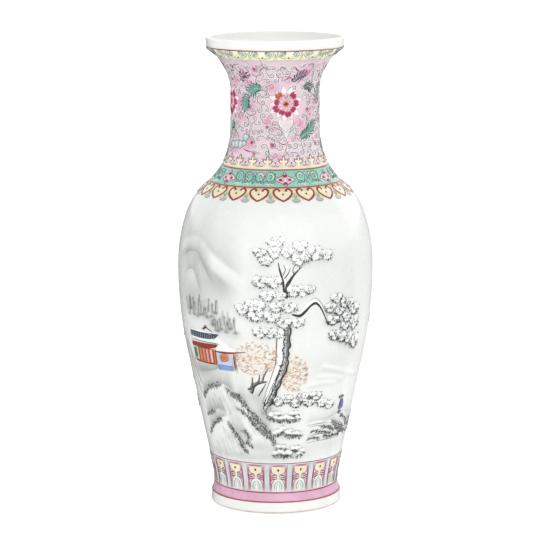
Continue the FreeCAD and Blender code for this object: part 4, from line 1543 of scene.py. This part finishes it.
def draw_lotus(band, angle, z):
    """A lotus seen from the front: magenta petals round an orange heart, over a pale calyx."""
    def at(points, size=1.0, turn=0.0):
        return about(angle, z, points, size, turn)

    for k in range(13):
        petal = at([(0, 5), (-2.6, 9.0), (-2.9, 12.8), (-0.7, 17.0), (0.6, 17.0), (2.7, 13.0), (2.6, 9.0)],
                   1.0 - 0.08 * (k % 2), k * 360 / 13 + 8)
        band["petal_white"].blob(petal, FILL, 0.15)
        band["rose"].stroke(petal, 0.35, FILL + 0.05, closed=True)
    for k, (turn, size) in enumerate(LOTUS_PETALS):
        petal = [(0, 2.0), (-3.0, 5.6), (-3.7, 9.8), (-1.3, 12.8), (0, 11.9), (1.3, 12.8), (3.7, 9.8),
                 (3.0, 5.6)]
        tip = [(-2.3, 6.8), (-3.3, 10.0), (-1.5, 13.3), (0, 11.6), (1.5, 13.3), (3.3, 10.0), (2.3, 6.8),
               (0, 7.6)]
        band["blush"].blob(at(petal, size, turn), DETAIL, 0.2)
        band["rose"].stroke(at([(0, 4.0), (0, 8.0)], size, turn), [0.6, 3.6], DETAIL + 0.12)
        if k:
            band["orange" if k == 1 else "magenta"].blob(at(tip, size, turn), LINE, 0.2)
        band["magenta"].stroke(at(petal, size, turn), 0.4, LINE, closed=True)
        for x in (-1.7, 0.0, 1.7):
            band["wine"].stroke(at([(x * 0.5, 6.4), (x, 9.0), (x, 11.0)], size, turn), 0.45, TOP + 0.15)
    band["orange"].blob(at(oval(2.6, 2.4)), TOP + 0.1, 0.25)
    band["wine"].blob(at(oval(1.5, 1.4, 8)), TOP + 0.3, 0.2)
    for x, y in oval(4.4, 4.2, 9):
        band["yellow"].blob(at(oval(0.6, 0.6, 6, x, y)), TOP + 0.1, 0.2)
    cup = [(-6.4, -15.5), (-6.0, -20.5), (-2.6, -25), (0, -27.5), (2.6, -25), (6.0, -20.5), (6.4, -15.5),
           (0, -17)]
    band["shell"].blob(at(cup, 0.96), FILL, 0.15)
    for drop, wide in ((0.0, 6.4), (3.4, 5.2), (6.6, 3.8)):
        for side in (-1, 1):
            leaf = [(wide * side, -15.5 - drop), (wide * side * 0.95, -20.5 - drop), (0, -26.5 - drop * 0.8)]
            band["white"].stroke(at(leaf), [0.8, 2.4, 1.2], DETAIL)
            band["slate"].stroke(moved(at(leaf), 0.9 * side, 0.0), 0.5, TOP)
    for side, reach in ((1, 1.0), (-1, 0.6)):
        for drop in (0.0, 2.4):
            tail = [(2 * side, -26 - drop), (8 * side * reach, -28 - drop), (13 * side * reach, -33 - drop)]
            band["white"].stroke(at(tail), [1.8, 1.4, 0.4], DETAIL)
            band["slate"].stroke(at(tail), 0.4, TOP)


def draw_leaf(band, spine, width, colour, edge):
    """A scrolling acanthus leaf along a spine: pointed lobes at both sides, each with a dark tip."""
    band[colour].stroke(spine, [0.15 * width, 0.34 * width, 0.38 * width, 0.3 * width, 0.15 * width], DETAIL,
                        0.2)
    path = smooth_curve(spine, step=3.7)[0]
    scale = degree(path[:, 1])
    turn = np.degrees(np.arctan2(np.gradient(path[:, 1]), np.gradient(path[:, 0]) * scale))
    for k in range(len(path) - 1):
        size = width / 3.5 * math.sin(math.pi * (k + 0.8) / len(path)) ** 0.5
        for side in (-1, 1):
            lobe, tip, root = (
                about(*path[k], [(x, y * side) for x, y in points], size, turn[k])
                for points in ([(-1.2, 0.2), (-0.9, 2.2), (0.4, 3.4), (1.7, 4.2), (1.0, 2.2), (0.7, 0.2)],
                               [(0.3, 3.0), (1.5, 4.2), (2.4, 5.6)],
                               [(-1.5, 1.0), (-1.2, 2.4), (-0.2, 3.4)]))
            band[colour].blob(lobe, DETAIL, 0.12)
            band[edge].stroke(tip, [1.3, 1.1, 0.3], LINE)
            band[edge].stroke(root, 0.5, LINE)
    band["jade"].stroke(spine, 0.7, TOP)
    band[edge].stroke(moved(spine, 0.7, 0.7), 0.4, TOP)


def draw_curl(band, angle, z, size, turn, mirror, colour):
    """A curling tendril with a white thread beside it."""
    line = [(-7.0, 1.0), (-4.6, -2.2)] + spiral(2.8, 0.6, 1.3, -120, 12)
    band["white"].stroke(about(angle, z, line, size * 1.14, turn, mirror), [0.5, 1.0, 1.0, 0.6], FILL)
    band[colour].stroke(about(angle, z, line, size, turn, mirror), 0.6, DETAIL)


def draw_bud(band, angle, z, size, turn):
    """A small rose bud held by two sepals."""
    bud = [(0, 3.4), (-1.9, 1.4), (-1.7, -1.0), (0, -2.2), (1.7, -1.0), (1.9, 1.4)]
    band["rose"].blob(about(angle, z, bud, size, turn), FILL, 0.15)
    band["magenta"].blob(about(angle, z, bud, size * 0.66, turn), LINE, 0.2)
    for side in (-1, 1):
        sepal = [(0, -3.4), (1.9 * side, -1.6), (2.7 * side, 0.6)]
        band["teal"].stroke(about(angle, z, sepal, size, turn), [0.5, 1.2, 0.3], DETAIL)


def draw_blue_flower(band, angle, z):
    """A pale blue flower from the side: a row of lobed petals with dark edges."""
    for x, y, turn, size in ((7.0, 5.2, -30, 1.05), (1.0, -2.0, -8, 1.1), (-5.0, -2.2, 6, 1.1),
                             (-10.5, -3.4, 24, 1.0), (5.6, -0.8, -40, 0.8), (-13.5, -2.0, 50, 0.7)):
        middle = about(angle, z, [(x, y)])[0]
        petal = about(*middle, [(-0.6, -3.8), (-2.9, -1.4), (-2.7, 1.8), (-1.2, 3.4), (0, 2.6), (1.4, 3.6),
                                (2.9, 1.6), (2.7, -1.6), (0.8, -3.8)], size, turn)
        band["mist_blue"].blob(petal, DETAIL, 0.2)
        band["leaf_edge"].stroke(petal, 0.55, LINE, closed=True)
        for vein in (-1.2, 0.2, 1.5):
            line = [(vein * 0.4, -3.0), (vein, -0.4), (vein, 1.8)]
            band["teal"].stroke(about(*middle, line, size, turn), 0.5, LINE)
        band["white"].blob(about(*middle, oval(0.9, 1.3, 8, -0.6, 1.0), size, turn), LINE, 0.15)


# Each leaf: its spine, its width, its colour and the colour of its edge.
NECK_LEAVES = (
    (((-19, 413), (-25, 413.5), (-31, 410.5), (-37, 407)), 4.4, "teal", "leaf_edge"),
    (((-38, 406), (-41, 400), (-41.5, 395), (-37, 390.5)), 4.2, "teal", "leaf_edge"),
    (((35, 365.5), (41, 368), (48, 370.5), (54, 375), (62, 380)), 4.0, "teal", "leaf_edge"),
    (((41, 413), (46, 414.6), (51, 413), (56, 410)), 3.6, "slate", "leaf_edge"),
    (((22.6, 420.6), (28, 424.5), (34, 426.6), (41, 427)), 3.0, "violet", "ink"),
    (((-45, 420.5), (-41.5, 425.5), (-36, 426.6), (-33.6, 422.5)), 2.8, "violet", "wine"),
    (((-64, 375), (-70, 376), (-76, 373)), 3.2, "teal", "leaf_edge"),
    (((76, 352), (84, 356), (92, 355), (99, 350)), 3.6, "pale_blue", "leaf_edge"),
    (((70, 398), (66, 404), (69, 411), (76, 414)), 4.0, "teal", "leaf_edge"),
    (((88, 428), (95, 432), (103, 431)), 3.0, "violet", "wine"),
)
# Each stem: its colour and its places.
NECK_STEMS = (
    ("wine", (22.5, 434.4), (25, 431), (29, 429.4)), ("brown", (50, 431), (51.5, 424), (50.5, 418)),
    ("brown", (-72, 372), (-62, 371), (-55, 367), (-52, 362)),
    ("wine", (-43, 354), (-34, 352), (-27, 351.6)), ("slate", (-10, 366.6), (-3, 364.4), (4, 361)),
    ("wine", (6, 360.8), (11, 359), (17, 361.6)), ("teal", (-20, 412), (-14, 411), (-9, 409)),
    ("brown", (-60, 428), (-50, 435), (-42, 436)), ("slate", (38, 435), (43, 436.5), (48, 432)),
    ("brown", (-18, 429), (-14, 433), (-8, 435)), ("brown", (24, 421), (17, 423.6), (13, 421)),
    ("slate", (-40, 390), (-34, 386.6), (-27, 388), (-25, 392)), ("teal", (56, 376), (66, 384), (72, 392)),
    ("brown", (64, 434), (74, 430), (84, 433)), ("violet", (-56, 436), (-50, 433), (-46, 428), (-41, 430)),
    ("violet", (-48, 424), (-43, 430), (-36, 432)), ("violet", (-37, 436), (-32, 431), (-30, 425)),
    ("violet", (-28, 428), (-24, 425), (-18, 427)), ("violet", (24, 433), (30, 429), (35, 431), (41, 429)),
    ("violet", (36, 422), (42, 427), (47, 434)), ("violet", (28, 417), (33, 421), (39, 420)),
    ("slate", (-14, 437), (-9, 432), (-3, 433)), ("slate", (2, 430), (8, 434), (14, 431)),
    ("violet", (-44, 418), (-39, 421), (-35, 418)),
)
# Each bud: its place, its size and its turn.
NECK_BUDS = ((-23, 432, 0.9, 30), (-30, 361, 1.1, 160), (-3, 358.5, 1.1, 40), (-26, 350.5, 0.7, 200),
             (-10, 376, 0.6, 0), (46, 392, 0.8, 70), (60, 358, 0.9, 120), (74, 380, 1.0, 20),
             (66, 424, 0.9, 200))
# Each pink cloud: its place, and how wide and tall it is in millimetres.
NECK_PATCHES = ((-50, 385, 9, 4), (-57, 400, 9, 6), (-2, 375, 6, 4), (33, 378, 6, 6), (-35, 358, 6, 5),
                (-10, 383, 4, 5), (-5, 415, 7, 6), (40, 428, 8, 6), (-34, 396, 7, 6), (60, 398, 8, 6),
                (-60, 352, 8, 4), (88, 366, 8, 6), (78, 402, 8, 6), (-36, 418, 7, 4), (2, 348, 8, 4),
                (-22, 432, 6, 4), (26, 366, 5, 4), (48, 388, 6, 5), (18, 422, 6, 4), (-58, 420, 6, 5))


def make_neck():
    """The rose neck: lotuses, leaves, buds and flowers, with small curls where there is room."""
    wash = Wash(337.2, 442.0, ROSE, 420, 110, 9)
    nodes = ["rose_neck_ground"]
    band = Band("rose_neck_ground", "rose_enamel", nodes)
    rng = np.random.default_rng(21)
    clear = []
    for k in range(LOTUSES):
        middle = FIRST_LOTUS + k * TURN / LOTUSES
        wash.patch(middle, 397, 20, 18, 0.35, PALE_ROSE)
        draw_lotus(band, middle, 398.0)
        clear += [(middle, 398, 24, 16), (middle, 374, 9, 9)]
    for half in (0.0, HALF_TURN):
        for spine, width, colour, edge in NECK_LEAVES:
            draw_leaf(band, moved(spine, half), width, colour, edge)
            angle, z = np.mean(spine, axis=0)
            clear.append((angle + half, z, 8, 5))
        for colour, *points in NECK_STEMS:
            band[colour].stroke(moved(points, half), [0.4, 1.0, 0.7, 0.3], FILL + 0.05)
        for angle, z, size, turn in NECK_BUDS:
            draw_bud(band, angle + half, z, size, turn)
            clear.append((angle + half, z, 5, 4))
        for angle, z, wide, tall in NECK_PATCHES:
            wash.patch(angle + half, z, wide, tall, 0.75, DEEP_ROSE)
            ragged = [(x * rng.uniform(0.6, 1.1), y * rng.uniform(0.6, 1.1))
                      for x, y in oval(0.6 * wide, 0.6 * tall, 9)]
            band["pink"].blob(about(angle + half, z, ragged), ENAMEL, 0.05, smooth=False)
        draw_blue_flower(band, half - 49.5, 360.0)
        clear.append((half - 51, 359, 18, 9))
    for row, z in enumerate(np.arange(350.5, 441.0, 7.0)):
        for around in np.arange(0.0, TURN, 10.6):
            angle = around + (row % 2) * 5.3 + rng.uniform(-2, 2)
            height = z + rng.uniform(-1.6, 1.6)
            size, turn = rng.uniform(0.7, 1.35), rng.uniform(0, 360)
            colour = ("slate", "brown", "plum", "grey")[rng.integers(4)]
            mirror = 1 if rng.random() < 0.5 else -1
            reach = [math.hypot(((angle - a + HALF_TURN) % TURN - HALF_TURN) / wide, (height - h) / tall)
                     for a, h, wide, tall in clear]
            if min(reach) > 1.0:
                draw_curl(band, angle, height, size, turn, mirror, colour)
                wash.patch(angle, height, 2.5, 2.0, 0.16, LILAC)
    wash.ridge([(-180, 443), (-60, 442.6), (60, 442.8), (179.9, 443)], 4.0, 0.5, LILAC, ends=0.01)
    ground = wash.sheet("rose_neck_ground_wash", ENAMEL - 0.08)
    ground.build(wash_material("rose_wash"), "rose_enamel", nodes)
    band.build()


def main():
    make_camera()
    make_studio()
    make_glaze()
    make_foot()
    make_landscape()
    make_neck()
    make_red_lines()
    make_foot_band()
    make_lappets()
    make_collar()
    make_cloud_band()
    make_trefoils()
    make_rim_scrolls()
    paste = bpy.data.materials["porcelain_paste"]
    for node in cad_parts.values():
        node.data.materials.clear()
        node.data.materials.append(paste)


main()
